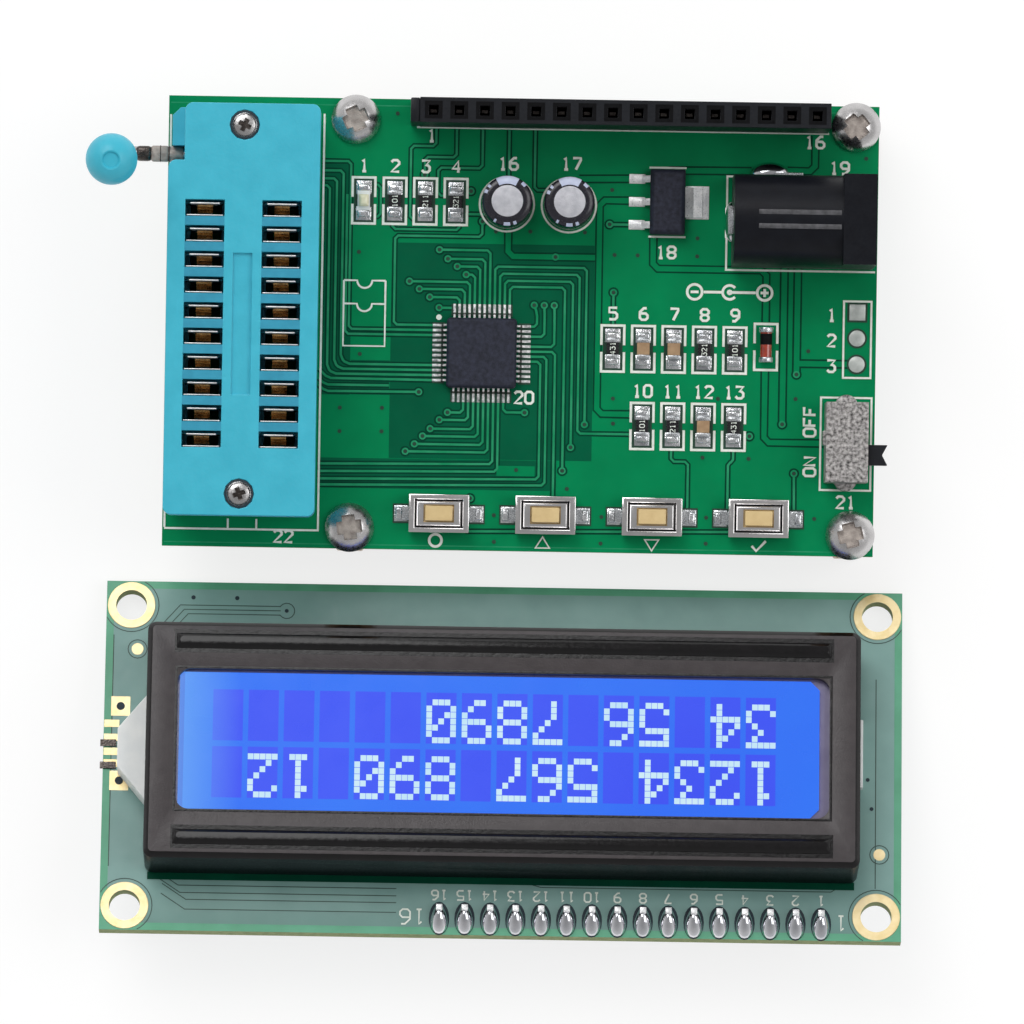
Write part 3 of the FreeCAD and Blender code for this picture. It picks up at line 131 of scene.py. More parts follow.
def lathe(profile, steps=32, angle=360.0):
    """Turns (radius, height) points round the Z axis, from +X."""
    bm = bmesh.new()
    verts = [bm.verts.new((radius, 0, height)) for radius, height in profile]
    edges = [bm.edges.new(pair) for pair in zip(verts, verts[1:])]
    bmesh.ops.spin(bm, geom=verts + edges, cent=(0, 0, 0), axis=(0, 0, 1), angle=math.radians(angle),
                   steps=steps, use_merge=angle == 360.0)
    bmesh.ops.remove_doubles(bm, verts=bm.verts, dist=WELD)
    bmesh.ops.recalc_face_normals(bm, faces=bm.faces)
    return bm


def plate(length, width):
    return block((length, width, LAYER))


def disc(radius, steps=16):
    bm = bmesh.new()
    bmesh.ops.create_cone(bm, cap_ends=True, segments=steps, radius1=radius, radius2=radius, depth=LAYER)
    return bm


def stepped_block(length, width, height, steps):
    """A block with its foot on the origin. Its top steps up and down through smaller rectangles."""
    bm = bmesh.new()
    bmesh.ops.create_cube(bm, size=1,
                          matrix=at(0, 0, height / 2) @ Matrix.Diagonal((length, width, height, 1)))
    top = max(bm.faces, key=lambda face: face.calc_center_median().z)
    for step_length, step_width, rise in steps:
        bmesh.ops.inset_region(bm, faces=[top], thickness=0.01)
        for vert in top.verts:
            vert.co = (math.copysign(step_length / 2, vert.co.x), math.copysign(step_width / 2, vert.co.y),
                       height + rise)
    return bm


def cross_bar(span, width, depth, turn):
    """One bar of a screw's cross, narrower at the bottom. Its top is at the origin."""
    bm = bmesh.new()
    bmesh.ops.create_cube(bm, size=1, matrix=Matrix.Diagonal((span, width, 2 * depth, 1)))
    bottom = [vert for vert in bm.verts if vert.co.z < 0]
    bmesh.ops.scale(bm, vec=(0.45, 0.7, 1), verts=bottom)
    bmesh.ops.rotate(bm, cent=(0, 0, 0), matrix=Matrix.Rotation(math.radians(turn), 3, "Z"), verts=bm.verts)
    return bm


def bent_strip(profile, width, thickness):
    """A strip of metal that follows (x, z) points, centred on Y."""
    bm = bmesh.new()
    (x, z), *rest = profile
    edge = bm.edges.new([bm.verts.new((x, side * width / 2, z)) for side in (-1, 1)])
    for next_x, next_z in rest:
        made = bmesh.ops.extrude_edge_only(bm, edges=[edge])["geom"]
        verts = [item for item in made if isinstance(item, bmesh.types.BMVert)]
        edge = next(item for item in made
                    if isinstance(item, bmesh.types.BMEdge) and set(item.verts) == set(verts))
        bmesh.ops.translate(bm, vec=(next_x - x, 0, next_z - z), verts=verts)
        x, z = next_x, next_z
    bmesh.ops.solidify(bm, geom=bm.faces[:], thickness=thickness)
    bmesh.ops.recalc_face_normals(bm, faces=bm.faces)
    return bm


def turned(angle, axis="Z"):
    return Matrix.Rotation(math.radians(angle), 4, axis)


def at(x, y, z=0.0, turn=0.0):
    return Matrix.Translation((x, y, z)) @ turned(turn)


def spots(points):
    return [at(x, y) for x, y in points]


def over(boxes, z=0.0):
    """A place at the middle of each box, at one height."""
    return [at(middle(box).x, middle(box).y, z) for box in boxes]


def moved(bm, *step):
    bmesh.ops.translate(bm, vec=step, verts=bm.verts)
    return bm


def stamp(target, part, places):
    """Adds a shape to the target at each place, and lets the shape go."""
    mesh = bpy.data.meshes.new("stamp")
    part.to_mesh(mesh)
    part.free()
    for place in places:
        known = len(target.verts)
        target.from_mesh(mesh)
        target.verts.ensure_lookup_table()
        bmesh.ops.transform(target, matrix=place, verts=target.verts[known:])
    bpy.data.meshes.remove(mesh)
    return target


def stamped(part, places):
    return stamp(bmesh.new(), part, places)


def as_object(name, bm):
    mesh = bpy.data.meshes.new(name)
    bm.to_mesh(mesh)
    bm.free()
    obj = bpy.data.objects.new(name, mesh)
    bpy.context.collection.objects.link(obj)
    return obj


def carved(solid, *cutters):
    """The solid with the cutters' shapes taken out of it."""
    objects = [as_object("solid", solid)] + [as_object("cutter", cutter) for cutter in cutters]
    for cutter in objects[1:]:
        modifier = objects[0].modifiers.new("carve", "BOOLEAN")
        modifier.operation, modifier.solver, modifier.object = "DIFFERENCE", "EXACT", cutter
    evaluated = objects[0].evaluated_get(bpy.context.evaluated_depsgraph_get())
    mesh = bpy.data.meshes.new_from_object(evaluated)
    bm = bmesh.new()
    bm.from_mesh(mesh)
    for data in [mesh] + [obj.data for obj in objects]:
        bpy.data.meshes.remove(data)
    return bm


def make_piece(name, bm, materials, body, slot, replaced=(), seat=Matrix(), sharp=35.0):
    """Turns a shape into a finished object that rides on a body."""
    bmesh.ops.transform(bm, matrix=Matrix.Scale(MM, 4) @ seat, verts=bm.verts)
    obj = as_object(name, bm)
    for material in materials:
        obj.data.materials.append(material)
    obj.data.shade_smooth()
    obj.data.set_sharp_from_angle(angle=math.radians(sharp))
    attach(obj, body)
    if replaced:
        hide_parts(*replaced)
    return obj


def stand_in(node, bm, *materials, even=False, **more):
    """A piece that shows in place of a CAD node."""
    obj = make_piece(f"{node}_finish", bm, materials, NODE_BODY[node], NODE_SLOT[node], [node], **more)
    if even:
        obj.modifiers.new("even_shading", "WEIGHTED_NORMAL").keep_sharp = True


def add_to(node, name, bm, material, seat=Matrix()):
    """A piece added to a CAD node."""
    make_piece(name, bm, [material], NODE_BODY[node], NODE_SLOT[node], seat=seat)


def finish_node(node, material, round_over):
    """Shows a CAD node with rounded edges and a real finish."""
    bm = cad_mesh(node)
    if round_over:
        soften(bm, round_over)
    stand_in(node, bm, material, even=round_over > 0)


def ribbon_mesh(paths, width):
    """Flat strips along paths of (x, y) points. A path that ends where it starts is closed."""
    curve = bpy.data.curves.new("ribbon", "CURVE")
    curve.dimensions = "3D"
    curve.bevel_depth, curve.bevel_resolution, curve.use_fill_caps = width / 2, 0, True
    for path in paths:
        closed = path[0] == path[-1]
        points = path[:-1] if closed else path
        spline = curve.splines.new("POLY")
        spline.points.add(len(points) - 1)
        for point, (x, y) in zip(spline.points, points):
            point.co = (x, y, 0, 1)
        spline.use_cyclic_u = closed
    obj = bpy.data.objects.new("ribbon", curve)
    mesh = bpy.data.meshes.new_from_object(obj)
    bm = bmesh.new()
    bm.from_mesh(mesh)
    bmesh.ops.scale(bm, vec=(1, 1, LAYER / width), verts=bm.verts)
    bpy.data.meshes.remove(mesh)
    bpy.data.objects.remove(obj)
    bpy.data.curves.remove(curve)
    return bm


def mitred(path, cut=0.3):
    """The path with its square corners cut at an angle, as a board's tracks run."""
    points = [Vector(point) for point in path]
    made = [points[0]]
    for before, corner, after in zip(points, points[1:], points[2:]):
        for other in (before, after):
            step = other - corner
            made.append(corner + step.normalized() * min(cut, step.length * 0.45))
    return [tuple(point) for point in made + points[-1:]]


def frame_sides(low_x, low_y, high_x, high_y, width):
    """The four sides of a drawn rectangle, each run out to the corner."""
    over = width / 2
    return [[(low_x - over, y), (high_x + over, y)] for y in (low_y, high_y)] + \
        [[(x, low_y - over), (x, high_y + over)] for x in (low_x, high_x)]


def frame_round(place, half_x, half_y, width):
    """The four sides of a drawn rectangle round a place."""
    x, y = place.translation.xy
    return frame_sides(x - half_x, y - half_y, x + half_x, y + half_y, width)


def arc(x, y, radius, start, end, steps=12):
    angles = [math.radians(start + (end - start) * step / steps) for step in range(steps + 1)]
    return [(x + radius * math.cos(angle), y + radius * math.sin(angle)) for angle in angles]


# Strokes of each drawn character on a grid 4 wide and 6 high
STROKES = {
    "0": [[(1, 0), (3, 0), (4, 1), (4, 5), (3, 6), (1, 6), (0, 5), (0, 1), (1, 0)]],
    "1": [[(1, 5), (2, 6), (2, 0)], [(1, 0), (3, 0)]],
    "2": [[(0, 5), (1, 6), (3, 6), (4, 5), (4, 4), (0, 0), (4, 0)]],
    "3": [[(0, 6), (4, 6), (2, 3.6), (3, 3.6), (4, 2.6), (4, 1), (3, 0), (1, 0), (0, 1)]],
    "4": [[(3, 0), (3, 6), (0, 2), (4, 2)]],
    "5": [[(4, 6), (0, 6), (0, 3.6), (3, 3.6), (4, 2.6), (4, 1), (3, 0), (0, 0)]],
    "6": [[(3.5, 6), (2, 6), (0, 4), (0, 1), (1, 0), (3, 0), (4, 1), (4, 2.3), (3, 3.3), (0, 3.3)]],
    "7": [[(0, 6), (4, 6), (4, 5), (1.5, 0)]],
    "8": [[(1, 3), (0, 4), (0, 5), (1, 6), (3, 6), (4, 5), (4, 4), (3, 3), (1, 3), (0, 2), (0, 1), (1, 0),
           (3, 0), (4, 1), (4, 2), (3, 3)]],
    "9": [[(4, 2.7), (1, 2.7), (0, 3.7), (0, 5), (1, 6), (3, 6), (4, 5), (4, 2), (2, 0), (0.5, 0)]],
    "N": [[(0, 0), (0, 6), (4, 0), (4, 6)]],
    "F": [[(0, 0), (0, 6), (4, 6)], [(0, 3), (3, 3)]],
}
STROKES["O"] = STROKES["0"]
STROKE_PITCH = 5.6


def lettering(text, x, y, height, turn=0.0):
    """The strokes of a text centred on a point and turned by an angle."""
    unit = height / 6
    place = at(x, y, 0, turn)
    left = -(STROKE_PITCH * (len(text) - 1) + 4) / 2
    paths = []
    for index, letter in enumerate(text):
        for stroke in STROKES[letter]:
            points = [place @ Vector(((left + STROKE_PITCH * index + across) * unit, (up - 3) * unit, 0))
                      for across, up in stroke]
            paths.append([(point.x, point.y) for point in points])
    return paths


# Materials

def colour(red, green, blue):
    """A colour as a picture shows it, 0 to 255, in linear light."""
    channels = [value / 255 for value in (red, green, blue)]
    return tuple(c / 12.92 if c <= 0.04045 else ((c + 0.055) / 1.055) ** 2.4 for c in channels) + (1,)


def add_node(tree, kind, inputs=None, **settings):
    made = tree.nodes.new("ShaderNode" + kind)
    for key, value in settings.items():
        setattr(made, key, value)
    for key, value in (inputs or {}).items():
        if isinstance(value, bpy.types.NodeSocket):
            tree.links.new(value, made.inputs[key])
        else:
            made.inputs[key].default_value = value
    return made


def new_group(name, inputs, outputs):
    """An empty node group, the sockets that feed it and the sockets that it fills."""
    group = bpy.data.node_groups.new(name, "ShaderNodeTree")
    for direction, sockets in (("INPUT", inputs), ("OUTPUT", outputs)):
        for label, kind in sockets.items():
            group.interface.new_socket(label, in_out=direction, socket_type="NodeSocket" + kind)
    return group, group.nodes.new("NodeGroupInput").outputs, group.nodes.new("NodeGroupOutput").inputs


def mottled_group():
    """Two tones in soft patches, a roughness that varies with them, and a fine height."""
    group, given, made = new_group(
        "mottled",
        {"Colour": "Color", "Shade": "Color", "Scale": "Float", "Smooth": "Float", "Rough": "Float"},
        {"Colour": "Color", "Roughness": "Float", "Height": "Float"})
    place = add_node(group, "TexCoord").outputs["Object"]
    patches = add_node(group, "TexNoise", {"Vector": place, "Scale": given["Scale"], "Detail": 4.0})
    finer = add_node(group, "Math", {0: given["Scale"], 1: 6.0}, operation="MULTIPLY")
    grain = add_node(group, "TexNoise", {"Vector": place, "Scale": finer.outputs[0], "Detail": 2.0})
    spread = add_node(group, "MapRange", {"Value": patches.outputs["Fac"], "From Min": 0.3, "From Max": 0.7})
    tint = add_node(group, "MixRGB", {"Fac": spread.outputs[0], "Color1": given["Colour"],
                                      "Color2": given["Shade"]})
    polish = add_node(group, "MapRange", {"Value": grain.outputs["Fac"], "From Min": 0.3, "From Max": 0.7,
                                          "To Min": given["Smooth"], "To Max": given["Rough"]})
    group.links.new(tint.outputs[0], made["Colour"])
    group.links.new(polish.outputs[0], made["Roughness"])
    group.links.new(grain.outputs["Fac"], made["Height"])
    return group


MOTTLED = mottled_group()


def empty_tree(owner):
    """The node tree of a material or a world, cleared."""
    owner.use_nodes = True
    owner.node_tree.nodes.clear()
    return owner.node_tree


def surface(name, main, shade, scale, smooth, rough, bump=0.0, **constants):
    """A material of two tones. Constants are the shader's own sockets."""
    material = bpy.data.materials.new(name)
    tree = empty_tree(material)
    look = add_node(tree, "Group", {"Colour": colour(*main), "Shade": colour(*shade), "Scale": scale,
                                    "Smooth": smooth, "Rough": rough}, node_tree=MOTTLED)
    inputs = {"Base Color": look.outputs["Colour"], "Roughness": look.outputs["Roughness"]}
    if bump:
        relief = add_node(tree, "Bump", {"Height": look.outputs["Height"], "Distance": bump * MM})
        inputs["Normal"] = relief.outputs[0]
    inputs.update({label.replace("_", " "): value for label, value in constants.items()})
    shader = add_node(tree, "BsdfPrincipled", inputs)
    add_node(tree, "OutputMaterial", {"Surface": shader.outputs[0]})
    return material


def mask(name, main, shade, scale=240, **constants):
    return surface(name, main, shade, scale, 0.3, 0.44, 0.006, **constants)


def green_mask(*look):
    return mask(*look, Specular_IOR_Level=0.08)


MASK = green_mask("mask_over_copper", (0, 134, 82), (0, 124, 76))
MASK_BARE = green_mask("mask_over_laminate", (0, 94, 63), (0, 86, 58))
# Dark mask for the track gaps, and also for the painted shadow along the bezel's foot.
MASK_GAP_AND_SHADE = green_mask("mask_in_track_gap_and_painted_shade", (0, 68, 48), (0, 56, 40))
MASK_TRACK = green_mask("mask_over_track", (48, 150, 106), (22, 134, 88), 400)
MASK_HOLE = surface("covered_hole", (6, 62, 42), (2, 48, 32), 900, 0.4, 0.6)
LAMINATE = surface("cut_laminate", (150, 160, 110), (120, 135, 85), 1500, 0.6, 0.8, 0.02)
INK = surface("white_ink", (236, 240, 232), (214, 224, 212), 1800, 0.5, 0.7, 0.01)
SOLDER = surface("solder", (238, 239, 240), (170, 173, 178), 900, 0.1, 0.26, 0.04, Metallic=0.9)
TINNED = surface("tinned_metal", (214, 216, 218), (180, 184, 188), 1200, 0.2, 0.38, 0.02, Metallic=1.0)
CHROME = surface("screw_plating", (216, 214, 214), (182, 180, 180), 500, 0.2, 0.34, 0.01, Metallic=1.0)
RECESS = surface("screw_recess", (190, 180, 172), (140, 130, 124), 1500, 0.4, 0.6, 0.04, Metallic=0.4)
BRASS = surface("brass", (158, 118, 60), (126, 92, 46), 600, 0.26, 0.4, 0.01, Metallic=1.0)
TONGUE = surface("contact_brass", (206, 164, 104), (128, 92, 54), 1200, 0.2, 0.36, 0.01, Metallic=0.7)
GOLD = surface("gold_plate", (240, 222, 178), (226, 204, 150), 900, 0.3, 0.44, 0.01, Metallic=0.75)
LEVER_STEEL = surface("lever_steel", (188, 188, 190), (140, 138, 136), 500, 0.16, 0.34, 0.02, Metallic=1.0)
SWITCH_STEEL = surface("switch_steel", (204, 200, 198), (50, 48, 48), 3000, 0.3, 0.46, 0.03, Metallic=0.6)
BUTTON_STEEL = surface("button_steel", (236, 234, 234), (212, 210, 210), 300, 0.1, 0.2, Metallic=1.0)
SMOOTH_SOLDER = surface("smooth_solder", (226, 226, 230), (196, 198, 204), 500, 0.06, 0.16, Metallic=1.0)
PAD_TIN = surface("pad_tin", (206, 210, 206), (174, 180, 176), 1200, 0.3, 0.46, 0.02, Metallic=0.4)
ALUMINIUM = surface("can_metal", (222, 222, 228), (196, 197, 204), 1500, 0.32, 0.48, 0.02, Metallic=1.0)
TEAL = surface("teal_plastic", (62, 184, 208), (55, 176, 200), 500, 0.34, 0.48, 0.012)
# Painted shade: a darker teal laid on the bars between the socket's slots, for the shade of a recess.
TEAL_SHADE = surface("teal_painted_recess_shade", (48, 154, 184), (38, 142, 172), 900, 0.36, 0.5, 0.012)
BLACK = surface("black_plastic", (24, 26, 32), (18, 20, 25), 700, 0.34, 0.5, 0.015,
                Specular_IOR_Level=0.25)
GLOSS_BLACK = surface("glossy_black", (21, 23, 29), (16, 17, 23), 700, 0.3, 0.42, 0.01,
                      Specular_IOR_Level=0.16)
# Painted highlight: two pale streaks along the top of the jack's glossy barrel.
PAINTED_HIGHLIGHT = surface("painted_highlight_streak", (86, 86, 90), (48, 48, 52), 1500, 0.4, 0.6, 0.03)
# Deep black for the diode's band, and for painted shade in the buttons' grooves and the header's mouths.
DEEP = surface("deep_black", (12, 12, 15), (6, 6, 8), 900, 0.5, 0.7, Specular_IOR_Level=0.1)
RESIN = surface("chip_resin", (45, 48, 64), (26, 28, 40), 2400, 0.5, 0.7, 0.03, Specular_IOR_Level=0.3)
TAN = surface("tan_plastic", (218, 192, 140), (206, 178, 126), 700, 0.4, 0.55, 0.012)
SLEEVE = surface("sleeve", (34, 32, 42), (24, 23, 30), 500, 0.16, 0.3)
STRIPE = surface("sleeve_print", (196, 204, 226), (172, 180, 206), 900, 0.3, 0.45)
RUBBER = surface("rubber", (30, 30, 32), (22, 22, 24), 700, 0.6, 0.8, 0.02)
RESISTOR = surface("resistor_top", (26, 24, 28), (16, 15, 18), 1500, 0.2, 0.36)
CERAMIC = surface("capacitor_ceramic", (172, 142, 108), (150, 120, 88), 1500, 0.4, 0.6, 0.015)
WHITE = surface("white_plastic", (238, 240, 238), (226, 230, 230), 500, 0.4, 0.55, 0.01)
LENS = surface("indicator_lens", (244, 240, 214), (232, 226, 190), 1200, 0.1, 0.24)
RED_GLASS = surface("red_glass", (176, 60, 34), (120, 34, 20), 1400, 0.05, 0.15, Coat_Weight=1.0)
BEZEL = surface("bezel_paint", (58, 52, 54), (48, 42, 44), 900, 0.36, 0.5, 0.02)
# Painted shade: a darker, glossier copy of the bezel's paint for its rounded edges, ribs and the dark bands
# round them.
RIB_SHADE = surface("glossy_paint_painted_shade", (20, 18, 20), (14, 13, 14), 500, 0.12, 0.22, 0.01, Specular_IOR_Level=0.3)
DISPLAY_MASK = mask("display_mask", (126, 164, 158), (114, 152, 146), 200)
DISPLAY_EDGE = mask("display_bare_edge", (92, 168, 134), (80, 154, 120), 300)
DISPLAY_GAP = surface("display_track_gap", (50, 80, 72), (40, 68, 60), 400, 0.3, 0.44)
BARE_GLASS = surface("bare_glass", (128, 122, 150), (112, 106, 136), 300, 0.08, 0.16)
BRIGHT = surface("bright_tin", (244, 244, 244), (220, 222, 224), 1500, 0.25, 0.4, 0.03, Metallic=0.55)
LEAD_TIN = surface("lead_tin", (246, 246, 246), (120, 122, 124), 2600, 0.25, 0.4, 0.03, Metallic=0.4)
DARK_METAL = surface("dark_metal", (104, 98, 94), (64, 58, 56), 900, 0.2, 0.4, 0.04, Metallic=1.0)
SHADE_RING = surface("shaded_gap", (16, 44, 56), (10, 32, 42), 900, 0.5, 0.7)


def fade_group():
    """Fades a colour into a tint along a direction: by a share at the start, not at all at the end."""
    group, given, made = new_group(
        "fade", {"Colour": "Color", "Tint": "Color", "Direction": "Vector", "Start": "Float", "End": "Float",
                 "Share": "Float"}, {"Colour": "Color"})
    place = add_node(group, "TexCoord").outputs["Object"]
    along = add_node(group, "VectorMath", {0: place, 1: given["Direction"]}, operation="DOT_PRODUCT")
    fade = add_node(group, "MapRange", {"Value": along.outputs["Value"], "From Min": given["Start"],
                                        "From Max": given["End"], "To Min": given["Share"], "To Max": 0.0})
    mixed = add_node(group, "MixRGB", {"Fac": fade.outputs[0], "Color1": given["Colour"],
                                       "Color2": given["Tint"]})
    group.links.new(mixed.outputs[0], made["Colour"])
    return group


FADE = fade_group()


def principled(tree):
    return next(node for node in tree.nodes if node.type == "BSDF_PRINCIPLED")


def graded(material, socket, direction, start, end, share, tint):
    """Puts the fade between a shader's colour socket and what feeds it."""
    tree = material.node_tree
    shader = principled(tree)
    look = add_node(tree, "Group", {"Direction": direction, "Start": start * MM, "End": end * MM,
                                    "Share": share, "Tint": colour(*tint)}, node_tree=FADE)
    tree.links.new(shader.inputs[socket].links[0].from_socket, look.inputs["Colour"])
    tree.links.new(look.outputs["Colour"], shader.inputs[socket])


def glowing(name, main, shade, scale=60):
    """A lit surface of two tones under clear film. Its left end is lighter, where the lamp stands."""
    material = surface(name, (4, 6, 20), (4, 6, 24), scale, 0.2, 0.3, Specular_IOR_Level=0.2)
    tree = material.node_tree
    shader = principled(tree)
    look = add_node(tree, "Group", {"Colour": colour(*main), "Shade": colour(*shade), "Scale": scale},
                    node_tree=MOTTLED)
    tree.links.new(look.outputs["Colour"], shader.inputs["Emission Color"])
    shader.inputs["Emission Strength"].default_value = 0.9
    graded(material, "Emission Color", (1, 0, 0), -42.0, -35.5, 0.5, (130, 200, 255))
    return material


# Painted shade: the display board turns darker and greener towards its bottom edge.
graded(DISPLAY_MASK, "Base Color", (0, 1, 0), -61.0, -57.0, 0.55, (56, 106, 93))
FILM = glowing("lit_film", (44, 122, 255), (40, 110, 252))
FILM_EDGE = glowing("film_edge", (16, 44, 226), (12, 36, 214))
CELL = glowing("dark_cell", (60, 90, 255), (56, 80, 250))
DOT = glowing("lit_dot", (218, 246, 255), (196, 234, 255), 300)


# Boards

BOARD_LOW, BOARD_HIGH = node_box("main_pcb")
BOARD_TOP, BOARD_BOTTOM = BOARD_HIGH.z, BOARD_LOW.z
MAIN_BODY, DISPLAY_BODY = NODE_BODY["main_pcb"], NODE_BODY["display_pcb"]


def display_seat():
    """The display board's own frame: X along it, Z out of its face, the origin on its top face."""
    holes = [mount for mount in RECORD["mounts"] if mount["name"].startswith("display_hole")]
    out = Vector(holes[0]["axis"])
    centre = sum((Vector(hole["pos_m"]) for hole in holes), Vector()) / len(holes) / MM
    centre += out * holes[0]["dims"]["length_mm"] / 2
    across = Vector((1, 0, 0))
    axes = Matrix((across, out.cross(across), out)).transposed().to_4x4()
    return Matrix.Translation(centre) @ axes


DISPLAY = display_seat()


def display_box(node):
    """A display node's box in the display's own frame."""
    to_local = DISPLAY.inverted()
    return box_of([to_local @ (vert.co / MM) for vert in frame["nodes"][node].data.vertices])


def board_piece(node, finish, out):
    """A board with the mask on its faces and bare laminate on its cut edges."""
    bm = cad_mesh(node)
    for face in bm.faces:
        face.material_index = 0 if abs(face.normal.dot(out)) > 0.9 else 1
    stand_in(node, bm, finish, LAMINATE)


# Layers of flat artwork, from the board's top face up
AREAS, TRACK_GAPS, FEED_GAPS, VIA_GAPS, TRACKS, VIA_RINGS, HOLES, PRINT = range(1, 9)


def on_main(name, bm, material, slot="tinned"):
    """Adds a piece to the main board's body."""
    make_piece(name, bm, [material], MAIN_BODY, slot)


def on_board(name, bm, material, layer):
    """Adds flat artwork to the main board, so many layers above its top face."""
    make_piece(name, bm, [material], MAIN_BODY, "green_board", seat=at(0, 0, BOARD_TOP + LAYER * layer))


board_piece("main_pcb", MASK, Vector((0, 0, 1)))
board_piece("display_pcb", DISPLAY_MASK, DISPLAY.col[2].to_3d())

# The socket's right side, where tracks run in under it
SOCKET_SIDE = -28.3
# Areas without copper, as (low x, low y, high x, high y), and islands of copper in them
BARE_AREAS = [(-21.2, -13.4, -0.95, 8.15), (SOCKET_SIDE, -16.45, -5.0, -13.45),
              (SOCKET_SIDE, -7.15, -25.2, 16.0), (-25.15, -7.1, -21.25, -3.65)]
COPPER_ISLANDS = [(-10.4, -15.0, -6.6, -14.0)]


def flat_areas(areas):
    bm = bmesh.new()
    for low_x, low_y, high_x, high_y in areas:
        centre = at((low_x + high_x) / 2, (low_y + high_y) / 2)
        stamp(bm, plate(high_x - low_x, high_y - low_y), [centre])
    return bm


CHIP = node_box("microcontroller_body")
CHIP_X, CHIP_Y = middle(CHIP).x, middle(CHIP).y
LEAD_PITCH, LEADS_A_SIDE = 0.5, 12
LEAD_TIP = 4.9


def lead(index):
    """How far along its side a chip lead lies from the chip's middle, counted from its low end."""
    return (index - (LEADS_A_SIDE - 1) / 2) * LEAD_PITCH


def lead_x(index):
    return CHIP_X + lead(index)


def lead_y(index):
    return CHIP_Y + lead(index)


def fan_tracks():
    """Tracks from the chip to its rings of vias, to the socket and to the front."""
    tracks, ends = [], []
    top, bottom = CHIP_Y + LEAD_TIP, CHIP_Y - LEAD_TIP
    left, right = CHIP_X - LEAD_TIP, CHIP_X + LEAD_TIP
    behind = [(-16.4, 1.7), (-17.35, 2.75), (-18.4, 3.55), (-19.4, 4.3), (-13.75, 5.05), (-14.65, 5.85),
              (-15.6, 6.6), (-16.45, 7.5)]
    before = [(-15.4, -8.75), (-16.2, -9.5), (-17.1, -10.4), (-17.85, -11.15), (-18.65, -11.95),
              (-19.55, -12.7)]
    for vias, first, edge in ((behind, 0, top), (before, 2, bottom), ([(-7.7, -8.65)], 10, bottom)):
        for index, via in enumerate(vias, start=first):
            tracks.append([via, (lead_x(index), via[1]), (lead_x(index), edge)])
            ends.append(via)
    for via, x, index in (((-6.9, 2.1), -6.6, 11), ((-5.9, 2.1), -5.85, 9), ((-4.9, 2.1), -4.85, 7)):
        tracks.append([via, (x, via[1] - 0.8), (x, lead_y(index)), (right, lead_y(index))])
        ends.append(via)
    # Four leads at the back run out to the right and down to the front.
    for index, height, x, end in ((8, 5.9, -1.7, -9.75), (10, 4.5, -3.05, -12.05), (11, 3.9, -3.85, -14.4)):
        tracks.append([(lead_x(index), top), (lead_x(index), height), (x, height), (x, end)])
        ends.append((x, end))
    tracks.append([(lead_x(9), top), (lead_x(9), 5.2), (-2.4, 5.2), (-2.4, -10.65), (3.0, -10.65)])
    # Leads at the front and the right run to the socket.
    for index, height in ((8, -13.85), (9, -14.6)):
        tracks.append([(lead_x(index), bottom), (lead_x(index), height), (SOCKET_SIDE, height - 0.2)])
    for index, x, height in ((4, -6.2, -15.3), (5, -5.6, -15.9)):
        tracks.append([(right, lead_y(index)), (x, lead_y(index)), (x, height), (SOCKET_SIDE, height - 0.25)])
    tracks.append([(right, lead_y(6)), (-4.75, lead_y(6)), (-4.75, -17.5)])
    # A bundle runs from the socket down its side to the chip's left leads.
    for x, height, index in ((-26.15, 15.25, 3), (-26.8, 14.45, 2), (-27.5, 13.75, 1)):
        y = lead_y(index)
        tracks.append([(SOCKET_SIDE, height), (x, height), (x, y + 0.6), (x + 0.6, y), (left, y)])
    for x, height, index in ((-25.4, 16.2, 10), (-25.75, 12.9, 9)):
        y = lead_y(index)
        tracks.append([(SOCKET_SIDE if index == 10 else x, height), (x, height), (x, y), (left, y)])
    tracks.append([(SOCKET_SIDE, -4.6), (-27.4, -5.5), (left, lead_y(0))])
    tracks.append([(SOCKET_SIDE, -5.5), (-27.7, -6.15), (-21.3, -6.15)])
    tracks.append([(SOCKET_SIDE, -6.2), (-27.65, -6.8), (-18.3, -6.75)])
    ends.append((-18.3, -6.75))
    tracks.append([(-12.2, 10.4), (-12.2, 8.85), (-20.9, 8.85), (-20.9, lead_y(11)), (left, lead_y(11))])
    ends.append((-12.2, 10.4))
    return tracks, ends


def plain_tracks():
    """Tracks between the other parts, and the vias they end on."""
    tracks = [
        [(-16.95, 19.6), (-16.95, 17.85), (-19.45, 17.85), (-19.45, 10.5), (-18.4, 10.5)],
        [(-14.9, 19.6), (-14.9, 16.75), (-18.05, 16.75), (-18.05, 14.95)],
        [(-12.3, 19.6), (-12.3, 15.7), (-16.7, 15.7), (-16.7, 12.9), (-15.8, 12.9)],
        [(-9.65, 19.6), (-9.65, 14.0)],
        [(-7.05, 19.6), (-7.05, 13.6), (-5.6, 13.6)],
        [(-14.5, 10.6), (-14.5, 9.5), (-21.2, 9.5), (-21.2, 10.5)],
        [(-23.6, 13.9), (-22.4, 13.9), (-22.4, 10.7), (-23.2, 10.7)],
        [(-14.4, 11.1), (-11.6, 11.1)],
        [(0.5, 10.3), (2.4, 10.3)],
        [(1.0, 3.5), (1.0, 0.3)],
        [(7.0, -12.2), (7.0, -13.3), (8.7, -13.3), (8.7, -18.0)],
        [(13.2, -12.1), (13.2, -13.3), (12.7, -13.3), (12.7, -18.1)],
        [(19.3, -14.3), (19.35, -18.0)],
        [(-13.4, -20.6), (13.0, -20.25)],
    ]
    ends = [(-18.05, 14.95), (-13.4, 13.4), (0.5, 10.3), (1.0, 3.5), (14.8, -10.65), (19.3, -14.3),
            (-4.85, 6.95), (-13.0, -17.3)]
    return tracks, ends


